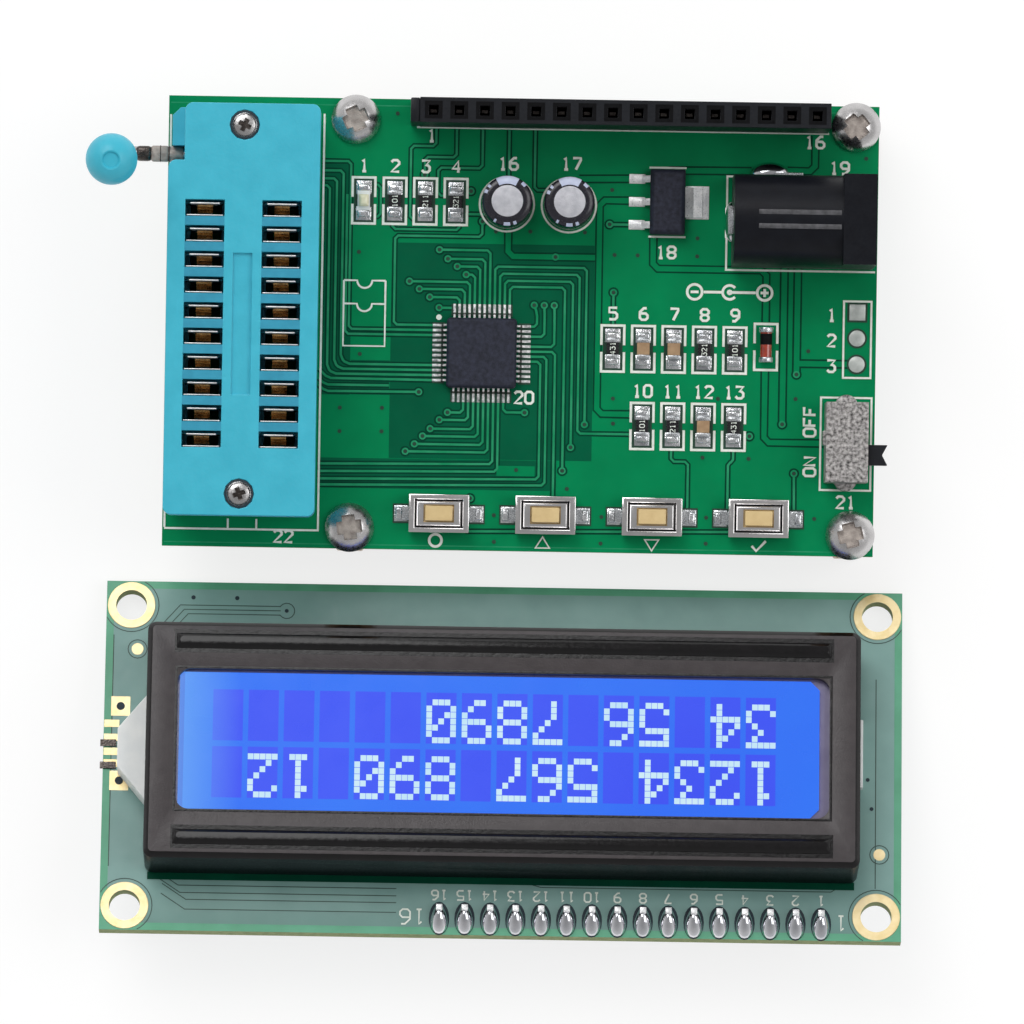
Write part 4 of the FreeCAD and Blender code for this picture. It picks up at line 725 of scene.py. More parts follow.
def power_tracks():
    """The wider tracks that feed the parts."""
    return [
        [(-9.6, 9.8), (-9.6, 6.95), (-0.9, 6.95)],
        [(-2.6, 14.8), (2.6, 14.9)],
        [(2.6, 12.7), (-0.5, 12.7), (-0.5, -8.65), (3.0, -8.65)],
        [(4.9, 9.2), (4.9, 5.95), (16.25, 5.95), (16.25, 0.8)],
        [(6.4, 15.8), (14.6, 15.85)],
        [(18.2, 15.95), (20.95, 15.95), (20.95, 19.5)],
        [(18.05, 6.2), (18.05, -9.4)],
        [(19.4, 6.2), (19.4, -4.4)],
        [(19.4, -3.3), (25.2, -3.3)],
        [(16.25, -4.0), (16.25, -11.25), (23.0, -11.25)],
    ], [(18.05, -9.4), (19.4, -4.4)]


COVERED_VIAS = [(-20.85, 21.05), (-24.5, 7.15), (-10.85, 9.4), (-7.4, 9.45), (-1.95, 9.45), (0.7, 13.75),
                (1.05, 7.25), (3.35, 7.25), (9.3, 9.05), (9.3, 7.25), (26.05, 17.3), (-26.15, -8.45),
                (-21.95, -8.4), (-26.15, -10.8), (-21.95, -10.75), (-24.25, -3.05), (-8.45, -14.4),
                (-3.35, -16.2), (1.1, -7.1), (11.6, -6.95), (1.15, -9.6), (10.15, -12.85), (14.75, -12.9),
                (0.15, -18.95), (10.6, -18.85), (21.4, -18.8), (0.1, -21.6), (10.6, -21.45), (20.55, -2.05),
                (19.35, -6.85), (-10.6, -18.95), (-10.55, -21.6)]
TRACK, WIDE_TRACK, CLEARANCE = 0.24, 0.56, 0.17
VIA_RADIUS, VIA_HOLE = 0.36, 0.2


def main_artwork():
    fans, fan_ends = fan_tracks()
    plain, plain_ends = plain_tracks()
    wide, wide_ends = power_tracks()
    thin = [mitred(path) for path in fans + plain]
    wide = [mitred(path, 0.5) for path in wide]
    vias = spots(fan_ends + plain_ends + wide_ends)
    edges = [[(BOARD_LOW.x + 0.2, y), (BOARD_HIGH.x - 0.2, y)] for y in (21.8, -22.1)]
    on_board("board_edge_lines", ribbon_mesh(edges, 0.13), MASK_TRACK, AREAS)
    on_board("board_bare_areas", flat_areas(BARE_AREAS), MASK_BARE, AREAS)
    on_board("board_track_gaps", ribbon_mesh(thin, TRACK + 2 * CLEARANCE), MASK_GAP_AND_SHADE, TRACK_GAPS)
    on_board("board_feed_gaps", ribbon_mesh(wide, WIDE_TRACK + 2 * CLEARANCE), MASK_GAP_AND_SHADE, FEED_GAPS)
    on_board("board_via_gaps", stamped(disc(VIA_RADIUS + CLEARANCE), vias), MASK_GAP_AND_SHADE, VIA_GAPS)
    on_board("board_islands", flat_areas(COPPER_ISLANDS), MASK, TRACK_GAPS)
    on_board("board_tracks", ribbon_mesh(thin, TRACK), MASK_TRACK, TRACKS)
    on_board("board_feeds", ribbon_mesh(wide, WIDE_TRACK), MASK, TRACKS)
    on_board("board_via_rings", stamped(disc(VIA_RADIUS), vias), MASK_TRACK, VIA_RINGS)
    on_board("board_vias", stamped(disc(VIA_HOLE), vias + spots(COVERED_VIAS)), MASK_HOLE, HOLES)


main_artwork()

# White print on the main board

PART_FRAME = (1.13, 2.3)
INK_WIDTH, BOLD_INK, BRACKET_INK = 0.2, 0.27, 0.25
LABEL_HEIGHT = 1.15
SIGN_Y = -21.65


def part_places():
    nodes = ("indicator_base", "chip_resistor_bodies", "chip_capacitor_bodies")
    places = [middle(box) for node in nodes for box in solid_boxes(node)]
    return sorted(places, key=lambda place: (-round(place.y), place.x))


def bracket(x, y, up):
    """Half of the frame round a chip part, open to the middle."""
    half, far = PART_FRAME
    near, end = y + up * 0.35, y + up * (far + BRACKET_INK / 2)
    sides = [[(edge, near), (edge, end)] for edge in (x - half, x + half)]
    return sides + [[(x - half, y + up * far), (x + half, y + up * far)]]


def notched_outline(x, low, high, half, notch):
    """A chip's outline with the round notch at its top end."""
    return [[(x - half, high), (x - notch, high)] + arc(x, high, notch, 180, 360) + [(x + half, high)],
            [(x - half, high), (x - half, low), (x + half, low), (x + half, high)]]


def main_print():
    lines = [[(-28.15, 20.9), (-28.15, -20.85)], [(-43.5, -20.75), (-28.25, -20.75)],
             [(-43.48, -20.65), (-43.48, 20.6)], [(-37.15, -20.65), (-37.15, -19.7)],
             [(-34.3, -20.65), (-34.3, -19.7)], [(-18.9, 19.72), (22.3, 19.72)]]
    lines += notched_outline(-23.87, -2.25, 4.3, 2.08, 0.75)
    lines += notched_outline(-23.87, -2.25, 1.97, 2.08, 0.75)[:1]
    lines += frame_sides(24.05, -4.65, 26.8, 3.0, INK_WIDTH)
    lines += frame_sides(21.9, -15.9, 26.95, -6.65, INK_WIDTH)
    lines += [[(12.2, 15.3), (12.2, 5.95)], [(12.1, 15.3), (13.0, 15.3)], [(12.1, 5.95), (27.1, 5.95)]]
    lines += [[(4.4, 9.15), (8.1, 9.15)], [(4.4, 16.05), (8.1, 16.05)]]
    diode = middle(node_box("diode_glass"))
    framed = [(place.x, place.y) for place in part_places()] + [(diode.x, diode.y - 0.2)]
    ink = ribbon_mesh(lines, INK_WIDTH)
    brackets = [line for x, y in framed for up in (-1, 1) for line in bracket(x, y, up)]
    stamp(ink, ribbon_mesh(brackets, BRACKET_INK), [Matrix()])
    rings = [arc(middle(box).x, middle(box).y, 2.72, 0, 360, 40) for box in solid_boxes("capacitor_sleeves")]
    stamp(ink, ribbon_mesh(rings, INK_WIDTH), [Matrix()])
    stamp(ink, disc(0.28), [at(-16.4, 0.75)])
    on_board("board_print", ink, INK, PRINT)


def main_labels():
    paths = []
    for number, place in enumerate(part_places(), start=1):
        paths += lettering(str(number), place.x, place.y + 3.5, LABEL_HEIGHT)
    for text, x, y in (("16", -9.7, 16.2), ("17", -3.4, 16.3), ("18", 6.2, 7.6), ("19", 23.4, 16.3),
                       ("20", -7.8, -7.15), ("21", 24.5, -17.1), ("1", 22.85, 1.6), ("2", 22.85, -0.95),
                       ("3", 22.85, -3.5), ("1", -17.4, 18.9), ("16", 20.9, 18.85), ("22", -31.6, -21.4)):
        paths += lettering(text, x, y, LABEL_HEIGHT)
    paths += lettering("OFF", 20.8, -9.1, LABEL_HEIGHT, 90) + lettering("ON", 20.85, -13.6, LABEL_HEIGHT, 90)
    # Signs for the buttons: a ring, up, down and a tick.
    paths += [arc(-16.4, -21.55, 0.62, 0, 360, 20)]
    for x, up in ((-5.7, 1), (5.2, -1)):
        foot, tip = SIGN_Y - 0.5 * up, SIGN_Y + 0.6 * up
        paths.append([(x - 0.7, foot), (x + 0.7, foot), (x, tip), (x - 0.7, foot)])
    paths += [[(15.2, -21.6), (15.65, -22.1), (16.6, -21.1)]]
    # The polarity sign of the jack: the pin inside, the sleeve round it.
    x, y = 12.6, 3.7
    paths += [arc(x, y, 0.7, 40, 320, 16), arc(x, y, 0.16, 0, 360, 8), [(x + 0.2, y), (x + 2.6, y)],
              [(x - 2.6, y), (x - 0.7, y)]]
    for side in (-1, 1):
        centre = x + side * 3.5
        paths += [arc(centre, y, 0.75, 0, 360, 20), [(centre - 0.4, y), (centre + 0.4, y)]]
    paths += [[(x + 3.5, y - 0.4), (x + 3.5, y + 0.4)]]
    on_board("board_labels", ribbon_mesh(paths, BOLD_INK), INK, PRINT)


main_print()
main_labels()

# Screws

def dome_screw(height, radius, rim, shank, reach, recess):
    """A round-headed screw with a cross recess of (span, width, depth). The origin is under its head."""
    rise = height - rim
    ball = (radius ** 2 + rise ** 2) / (2 * rise)
    steps = 9
    turns = [math.asin(radius / ball) * (1 - step / steps) for step in range(steps + 1)]
    skin = [(ball * math.sin(turn), height - ball + ball * math.cos(turn)) for turn in turns]
    solid = lathe([(0, -reach), (shank, -reach), (shank, 0), (radius, 0)] + skin, 48)
    span, width, depth = recess
    return carved(solid, *[moved(cross_bar(span, width, depth, turn), 0, 0, height) for turn in (0, 90)])


def screws(node, floor_finish, turns, height, recess, **shape):
    """Screws at the places of a CAD node's solids, each turned its own way."""
    boxes = solid_boxes(node)
    heads = over(boxes, boxes[0][1].z - height)
    places = [head @ turned(turn) for head, turn in zip(heads, turns)]
    stand_in(node, stamped(dome_screw(height, recess=recess, **shape), places), CHROME, sharp=28)
    span, width, depth = recess
    floor = block((0.66 * span, 0.8 * width, 0.05))
    cross = [at(0, 0, height - 0.62 * depth), at(0, 0, height - 0.63 * depth, 90)]
    add_to(node, f"{node}_recesses", stamped(stamped(floor, cross), places), floor_finish)


COVER_HEAD, COVER_SCREW = 0.6, solid_boxes("socket_cover_screws")[0]
screws("mounting_screws", RECESS, (8, 25, 14, 40), 1.9, (3.9, 1.6, 1.15), radius=2.45, rim=0.35, shank=1.4,
       reach=3.8)
screws("socket_cover_screws", DARK_METAL, (20, 65), COVER_HEAD, (1.9, 0.56, 0.45), radius=1.2, rim=0.42,
       shank=0.7, reach=COVER_SCREW[1].z - COVER_SCREW[0].z - COVER_HEAD)

# Push buttons

BUTTON_TOP_STEPS = [(4.9, 2.95, 0), (4.7, 2.75, -0.22), (4.45, 2.5, -0.22), (4.2, 2.28, 0.08),
                    (3.05, 1.78, 0.08), (3.0, 1.72, -0.5)]


def buttons():
    boxes = solid_boxes("button_frames")
    low, high = boxes[0]
    frame_block = stepped_block(high.x - low.x, high.y - low.y, high.z - low.z - 0.08, BUTTON_TOP_STEPS)
    soften(frame_block, 0.05)
    stand_in("button_frames", stamped(frame_block, over(boxes, low.z)), BUTTON_STEEL)
    # Painted shade: dark ribbons laid in the frame's groove.
    groove = 0.15
    sides = [side for place in over(boxes) for side in frame_round(place, 2.29, 1.31, groove)]
    groove_shade = ribbon_mesh(sides, groove)
    add_to("button_frames", "button_groove_shade", groove_shade, DEEP, at(0, 0, high.z - 0.27))

    def both_ends(reach, z=0.0):
        return [at(middle(box).x + side * reach, middle(box).y, z) for box in boxes for side in (-1, 1)]

    pads = both_ends(3.72, BOARD_TOP + 0.04)
    on_main("button_pads", stamped(block((1.45, 1.6, 0.06), 0.02), pads), SOLDER)
    on_board("button_pad_gaps", stamped(plate(1.75, 1.95), both_ends(3.72)), MASK_HOLE, HOLES)
    solder = both_ends(4.0, BOARD_TOP + 0.1)
    on_main("button_solder", stamped(block((0.7, 1.2, 0.4), 0.18, 3), solder), SOLDER)


buttons()

# Chip parts on their pads

def chip_part_pads():
    places = part_places()
    gaps = [at(place.x, place.y) for place in places]
    on_board("part_pad_gaps", stamped(plate(1.95, 4.3), gaps), MASK_HOLE, HOLES)
    pads = [at(place.x, place.y + side * 1.3, BOARD_TOP + 0.07) for place in places for side in (-1, 1)]
    on_main("part_pads", stamped(block((1.5, 1.35, 0.05), 0.02), pads), SOLDER)
    ends = [at(place.x, place.y + side * 1.28, BOARD_TOP + 0.2) for place in places for side in (-1, 1)]
    on_main("part_solder", stamped(block((1.3, 0.7, 0.5), 0.2, 3), ends), SOLDER)
    codes, boxes = [], solid_boxes("chip_resistor_bodies")
    for code, box in zip(itertools.cycle(("101", "211", "321", "431")), boxes):
        codes += lettering(code, middle(box).x, middle(box).y, 0.48, 90)
    add_to("chip_resistor_bodies", "part_codes", ribbon_mesh(codes, 0.09), INK,
           at(0, 0, boxes[0][1].z + LAYER))


chip_part_pads()

# Flat pack

def chip_leads():
    half = (CHIP[1].x - CHIP[0].x) / 2
    profile = [(-0.3, 0.8), (0.33, 0.8), (0.47, 0.24), (0.54, 0.16), (1.0, 0.12)]
    shape = bent_strip([(half + out, up) for out, up in profile], 0.21, 0.12)
    # Painted shade: the leads' steep and side faces take the dark metal, their top faces the bright tin.
    for face in shape.faces:
        face.material_index = 1 if abs(face.normal.z) < 0.8 else 0
    sides = [at(CHIP_X, CHIP_Y, BOARD_TOP, turn) for turn in (0, 90, 180, 270)]
    places = [side @ at(0, lead(index)) for side in sides for index in range(LEADS_A_SIDE)]
    stand_in("microcontroller_leads", stamped(shape, places), LEAD_TIN, DARK_METAL)
    pads = [place @ at(half + 0.96, 0, 0.05) for place in places]
    on_main("chip_pads", stamped(block((0.88, 0.25, 0.05), 0.015), pads), LEAD_TIN)
    gaps = [side @ at(half + 0.8, 0, HOLES * LAYER) for side in sides]
    on_main("chip_pad_gaps", stamped(plate(1.2, 2 * half - 0.9), gaps), MASK_HOLE, "green_board")


def chip_body():
    """The flat pack's resin, with the mould's rounded corners."""
    bm = cad_mesh("microcontroller_body")
    round_edges(bm, edges_along(bm, Vector((0, 0, 1))), 0.4)
    soften(bm, 0.1)
    stand_in("microcontroller_body", bm, RESIN, even=True)


chip_leads()
chip_body()

# Capacitors

def capacitor_tops():
    boxes = solid_boxes("capacitor_sleeves")
    low, high = boxes[0]
    radius, height, face = (high.x - low.x) / 2, high.z - low.z, 1.55
    shoulder = [(radius - 0.75 + 0.75 * math.sin(turn), height - 0.45 + 0.45 * math.cos(turn))
                for turn in (math.radians(angle) for angle in (90, 70, 50, 30, 10))]
    sleeve = [(radius - 0.2, 0), (radius, 0.15)] + shoulder
    sleeve += [(face + 0.1, height - 0.02), (face, height - 0.12)]
    places = over(boxes, low.z)
    stand_in("capacitor_sleeves", stamped(lathe(sleeve, 48), places), SLEEVE)
    can = [(radius - 0.15, 0.1), (radius - 0.1, height - 0.5), (face + 0.2, height - 0.12),
           (face - 0.05, height - 0.1), (0, height - 0.1)]
    stand_in("capacitor_cans", stamped(lathe(can, 48), places), ALUMINIUM)
    # The stripe and the marks lie just outside the sleeve.
    stripe = [(radius, 0.6)] + shoulder + [(face + 0.14, height - 0.02)]
    printed = [(stripe, 12, 62, 56)]
    printed += [(shoulder[1:4], 3, start, width)
                for start, width in ((138, 7), (152, 9), (236, 6), (262, 16), (286, 8), (40, 12))]
    bm = bmesh.new()
    for profile, steps, start, width in printed:
        skin = lathe([(r + 0.012, z + 0.012) for r, z in profile], steps, width)
        stamp(bm, skin, [place @ turned(start) for place in places])
    add_to("capacitor_sleeves", "capacitor_stripes", bm, STRIPE)


capacitor_tops()

# Lever knob

KNOB_DIMPLE, KNOB_LEAN = 0.85, 5.4


def knob():
    """A ball with a dimple in its end, leaning a little."""
    low, high = node_box("lever_knob")
    ball = (high.x - low.x) / 2
    turns = [math.radians(-90 + 180 * step / 24) for step in range(25)]
    skin = [(ball * math.cos(turn), ball * math.sin(turn)) for turn in turns
            if ball * math.cos(turn) > KNOB_DIMPLE or turn < 0]
    rim = skin[-1][1]
    dimple = [(KNOB_DIMPLE, rim - 0.02), (0.7, rim - 0.22), (0, rim - 0.26)]
    seat = Matrix.Translation(middle((low, high))) @ turned(KNOB_LEAN, "X")
    stand_in("lever_knob", lathe(skin + dimple, 40), TEAL, seat=seat)


knob()

# Socket contacts and trim

def socket_contacts():
    """In each slot a bright sprung leaf, a brass tongue and the bright edge of the far leaf, which is partly
    a painted highlight.
    """
    top = node_box("socket_cover")[1].z
    tails = solid_boxes("socket_contacts")
    slots = over(tails, top)
    foot, tail_top = tails[0][0].z - top, -4.0
    bm = stamped(moved(block((2.9, 0.12, 3.4), 0.03), 0, 0.47, -1.95), slots)
    # Painted highlight: the bright bar along each slot's lower edge stands for the far leaf's lit edge.
    stamp(bm, moved(block((3.6, 0.1, 3.2), 0.03), 0, -0.72, -1.65), slots)
    stamp(bm, moved(block((0.5, 0.3, tail_top - foot), 0.05), 0, 0, (foot + tail_top) / 2), slots)
    on_main("socket_contact_leaves", bm, BRIGHT)
    tongue = bent_strip([(-0.34, -1.6), (-0.16, -1.5), (-0.1, -2.1), (0.1, -1.95), (0.16, -2.5), (0.42, -2.2),
                         (0.52, -3.4)], 1.5, 0.1)
    stand_in("socket_contacts", stamped(tongue, [slot @ turned(-90) for slot in slots]), TONGUE)
    ring = lathe([(1.22, 0.004), (1.4, 0.006), (1.42, 0)], 32)
    rings = stamped(ring, over(solid_boxes("socket_cover_screws"), top))
    add_to("socket_cover", "socket_screw_rings", rings, SHADE_RING)
    columns = sorted({round(middle(box).x, 2) for box in tails})
    rows = sorted({round(middle(box).y, 2) for box in tails})
    # Painted shade: darker teal plates on the bars between the slots.
    bars = [at(x, (low + high) / 2, top + LAYER) for x in columns for low, high in zip(rows, rows[1:])]
    add_to("socket_cover", "socket_bar_shade", stamped(plate(3.9, 0.86), bars), TEAL_SHADE)


socket_contacts()

# Lever rod

def lever_arm():
    """The rod's thicker stretch between the knob and the socket: a dark bend, then a bright flat."""
    y, z = 16.4, 13.8
    add_to("lever_rod", "lever_bend", block((1.7, 1.5, 1.6), 0.45, 4), DARK_METAL, at(-46.0, y, z))
    add_to("lever_rod", "lever_flat", block((1.75, 1.56, 1.6), 0.22, 3), RECESS, at(-44.4, y, z))
    # Painted shade: the collar takes the darker brownish grey rather than the rod's steel, for the shade of
    # the notch it lies in.
    collar = lathe([(0, -0.75), (0.74, -0.75), (0.78, -0.6), (0.78, 0.6), (0.74, 0.75), (0, 0.75)], 24)
    add_to("lever_rod", "lever_collar", collar, RECESS, at(-42.85, y, z) @ turned(90, "Y"))
    seams = stamped(block((0.12, 1.6, 1.64), 0.05), [at(-44.35, y, z), at(-43.5, y, z)])
    add_to("lever_rod", "lever_seam", seams, DARK_METAL)


lever_arm()

# Solder and pads on the main board

def mound(length, width, height):
    """A drop of solder with a flat foot, its middle on the origin."""
    bm = bmesh.new()
    bmesh.ops.create_uvsphere(bm, u_segments=20, v_segments=12, radius=1)
    bmesh.ops.scale(bm, vec=(length / 2, width / 2, height), verts=bm.verts)
    bmesh.ops.scale(bm, vec=(1, 1, 0.1), verts=[vert for vert in bm.verts if vert.co.z < 0])
    return bm


PAD_X, ROUND_PADS_Y, SQUARE_PAD_Y = 25.4, (-3.3, -0.7), 1.9


def board_solder():
    pads = [at(PAD_X, y, BOARD_TOP + 0.06) for y in ROUND_PADS_Y]
    bm = stamped(lathe([(0, 0.1), (0.5, 0.09), (0.8, 0.02), (0.82, -0.04)], 24), pads)
    stamp(bm, block((1.6, 1.6, 0.1), 0.04), [at(PAD_X, SQUARE_PAD_Y, BOARD_TOP + 0.08)])
    on_main("bare_pads", bm, PAD_TIN)
    bm = stamped(disc(1.0, 24), [at(PAD_X, y) for y in ROUND_PADS_Y])
    stamp(bm, plate(2.0, 2.0), [at(PAD_X, SQUARE_PAD_Y)])
    on_board("bare_pad_gaps", bm, MASK_HOLE, HOLES)
    bm = bmesh.new()
    for box in solid_boxes("regulator_leads"):
        width = box[1].y - box[0].y
        tab = width > 2
        x, length, rim = (box[1].x - 0.5, 2.3, 0.3) if tab else (box[0].x + 0.45, 1.6, 0.25)
        stamp(bm, block((length, width + rim, 0.06), 0.02), [at(x, middle(box).y, BOARD_TOP + 0.06)])
    on_main("board_pads", bm, BRIGHT)
    bm = stamped(mound(3.9, 2.4, 1.0), [at(16.45, 15.6, BOARD_TOP + 0.05)])
    stamp(bm, mound(1.5, 4.3, 1.0), [at(12.75, 10.75, BOARD_TOP + 0.05)])
    add_to("jack_terminals", "jack_solder", bm, SMOOTH_SOLDER)
    cone = lathe([(0.85, 0), (0.55, -0.25), (0.35, -0.7), (0.3, -1.1), (0, -1.2)], 12)
    nodes = ("socket_contacts", "header_contacts", "capacitor_leads", "switch_terminals")
    tails = [box for node in nodes for box in solid_boxes(node)]
    on_main("joints_below", stamped(cone, over(tails, BOARD_BOTTOM)), SOLDER)


def small_trim():
    """The jack's painted highlight streaks, the diode's band and the switch's clip."""
    streaks = [at(19.2, y, node_box("jack_housing")[1].z - 0.06) for y in (11.3, 9.9)]
    add_to("jack_housing", "jack_highlight_streaks", stamped(block((8.2, 0.5, 0.1), 0.04), streaks), PAINTED_HIGHLIGHT)
    glass = node_box("diode_glass")
    radius, length = (glass[1].x - glass[0].x) / 2, 0.44 * (glass[1].y - glass[0].y)
    inner, outer = radius - 0.05, radius + 0.015
    band = lathe([(inner, 0), (outer, 0), (outer, length), (inner, length)], 24)
    add_to("diode_glass", "diode_band", band, DEEP, Matrix.Translation(middle(glass)) @ turned(-90, "X"))
    shell = node_box("switch_shell")
    add_to("switch_shell", "switch_clip", block((0.5, 1.5, 1.2), 0.15, 3), SWITCH_STEEL,
           at(shell[0].x - 0.05, middle(shell).y + 0.4, shell[1].z - 0.9))


board_solder()
small_trim()

# Header

def header_trim():
    """Painted shade in dark frames round the contacts' mouths, and the thick left end where the strip was
    cut.
    """
    low, high = node_box("display_header")
    centre, rim = middle((low, high)), 0.36
    mouths = [side for box in solid_boxes("header_contacts")
              for side in frame_round(at(middle(box).x, centre.y), 0.7, 0.7, rim)]
    add_to("display_header", "header_mouth_shade", ribbon_mesh(mouths, rim), DEEP, at(0, 0, high.z + LAYER))
    end = block((0.95, high.y - low.y - 0.1, high.z - low.z - 0.2), 0.15)
    add_to("display_header", "header_end", end, BLACK, at(low.x - 0.45, centre.y, centre.z - 0.1))


header_trim()

# Display

FILM_BOX = display_box("display_polarizer")
TEXT_X, TEXT_Y = -0.9, -0.3
CELL_PITCH, ROW_PITCH, CELL_SIZE = 3.54, 5.85, (3.0, 5.25)
DOT_PITCH_X, DOT_PITCH_Y, DOT_SIZE = 0.6, 0.65, (0.56, 0.6)
COLUMNS = 16
DIGIT_DOTS = {
    "0": "01110 10001 10011 10101 11001 10001 01110", "1": "00100 01100 00100 00100 00100 00100 01110",
    "2": "01110 10001 00001 00010 00100 01000 11111", "3": "11111 00010 00100 00010 00001 10001 01110",
    "4": "00010 00110 01010 10010 11111 00010 00010", "5": "11111 10000 11110 00001 00001 10001 01110",
    "6": "00110 01000 10000 11110 10001 10001 01110", "7": "11111 00001 00010 00100 01000 01000 01000",
    "8": "01110 10001 10001 01110 10001 10001 01110", "9": "01110 10001 10001 01111 00001 00010 01100",
}
SHOWN_ROWS = ("1234 567 890 12", "34 56 7890")


def on_display(name, bm, material, height, slot="display_board"):
    """Adds flat artwork to the display, at a height above its board's face."""
    make_piece(name, bm, [material], DISPLAY_BODY, slot, seat=DISPLAY @ at(0, 0, height))


def display_text():
    """The characters read with the module turned half round, as it lies."""
    cells, dots = [], []
    half_turn = at(TEXT_X, TEXT_Y, 0, 180)
    for row, text in enumerate(SHOWN_ROWS):
        for column, letter in enumerate(text.ljust(COLUMNS)):
            x = (column - (COLUMNS - 1) / 2) * CELL_PITCH
            y = (0.5 - row) * ROW_PITCH
            cells.append(half_turn @ at(x, y))
            for line, bits in enumerate(DIGIT_DOTS.get(letter, "").split()):
                dots += [half_turn @ at(x + (spot - 2) * DOT_PITCH_X, y + (3.5 - line) * DOT_PITCH_Y)
                         for spot, bit in enumerate(bits) if bit == "1"]
    low, high = FILM_BOX
    edge = stamped(plate(0.5, high.y - low.y - 0.1), [at(low.x + 0.25, (low.y + high.y) / 2)])
    on_display("film_edge", edge, FILM_EDGE, high.z + LAYER, "blue_film")
    on_display("display_cells", stamped(plate(*CELL_SIZE), cells), CELL, high.z + LAYER, "blue_film")
    on_display("display_dots", stamped(plate(*DOT_SIZE), dots), DOT, high.z + 2 * LAYER, "blue_film")


HOLE_X, HOLE_Y = 37.5, 15.5


def display_board_trim():
    low, high = display_box("display_pcb")
    edge = 0.75
    length, width = high.x - low.x, high.y - low.y
    bm = stamped(plate(length, edge), [at(0, high.y - edge / 2), at(0, low.y + edge / 2)])
    ends = [at(side * (high.x - edge / 2), 0) for side in (-1, 1)]
    stamp(bm, plate(edge, width - 2 * edge), ends)
    on_display("display_edges", bm, DISPLAY_EDGE, LAYER)
    holes = [(i * HOLE_X, j * HOLE_Y) for i in (-1, 1) for j in (-1, 1)]
    ring = lathe([(1.56, -0.05), (1.56, 0.07), (2.36, 0.07), (2.4, 0.02)], 40)
    on_display("display_hole_rings", stamped(ring, spots(holes)), GOLD, 0.02, "brass")
    lines = [arc(x, y, 2.75, 118 + turn, 332 + turn, 24) for (x, y), turn in zip(holes, (180, 90, 270, 0))]
    lines += [[(-34.6, 13.3), (-32.6, 15.6), (-22.5, 15.6)], [(-33.9, 13.2), (-32.2, 15.15), (-22.5, 15.15)],
              [(-33.2, 13.1), (-31.8, 14.7), (-22.5, 14.7)], arc(-21.9, 15.15, 0.8, -145, 145, 12)]
    lines += [[(high.x - 2.6, -12.6), (high.x - 2.6, 9.0)], [(-39.2, 12.4), (-39.2, -11.5)]]
    for y in (-13.0, -12.6):
        lines.append([(2.0, y + 0.6), (4.0, y), (33.0, y), (34.8, y + 1.2)])
    for x, y in ((-32.2, -13.35), (-32.0, -14.1), (-31.4, -14.8), (-31.5, -15.8)):
        lines.append([(x - 2.4, y + 1.6), (x, y), (-10.4, y)])
    test_pads = [(-36.8, 10.95), (37.8, -9.1)]
    lines += [arc(x, y, 0.95, 0, 360, 20) for x, y in test_pads]
    on_display("display_tracks", ribbon_mesh(lines, 0.1), DISPLAY_GAP, 2 * LAYER)
    bm = stamped(disc(0.6), spots(test_pads))
    stamp(bm, plate(1.9, 2.0), [at(-38.35, 5.0), at(-38.35, -2.7)])
    stamp(bm, plate(1.5, 0.75), [at(-39.2, y) for y in (3.2, 1.75, 0.3, -0.9)])
    on_display("display_gold_pads", bm, GOLD, 3 * LAYER, "brass")
    dark = [(-38.35, 5.0, 0.42), (-38.35, -2.7, 0.42), (-31.3, 16.4, 0.22), (-26.9, 16.4, 0.22),
            (-21.9, 15.15, 0.2), (37.0, -4.4, 0.2), (36.6, -1.4, 0.2), (-20.6, -12.4, 0.2)]
    bm = bmesh.new()
    for x, y, radius in dark:
        stamp(bm, disc(radius), [at(x, y)])
    on_display("display_vias", bm, SHADE_RING, 4 * LAYER)


PIN_PITCH, PINS, PINS_X, PINS_Y = 2.54, 16, 12.95, -16.4


def display_joints():
    pins = [PINS_X + PIN_PITCH * (way - (PINS - 1) / 2) for way in range(PINS)]
    pad = disc(1.0, 20)
    bmesh.ops.scale(pad, vec=(1.02, 1.72, 1), verts=pad.verts)
    on_display("joint_gaps", stamped(pad, [at(x, PINS_Y + 0.06) for x in pins]), SHADE_RING, 2 * LAYER)
    drop = mound(1.75, 3.1, 1.3)
    for vert in drop.verts:
        vert.co.x *= 1 - 0.16 * vert.co.y
        vert.co.z *= 1 + 0.2 * vert.co.y
    bm = stamped(drop, [at(x, PINS_Y) for x in pins])
    stand_in("display_solder_joints", bm, SMOOTH_SOLDER, seat=DISPLAY)
    labels = [(str(number), x, -13.95, 0.95) for number, x in enumerate(reversed(pins), start=1)]
    labels += [("1", pins[-1] + 2.0, PINS_Y + 0.2, 1.5), (str(PINS), pins[0] - 2.7, PINS_Y + 0.2, 1.5)]
    paths = [path for label in labels for path in lettering(*label, 180)]
    on_display("display_labels", ribbon_mesh(paths, 0.18), INK, 3 * LAYER)


BEZEL_FACE = 7.0


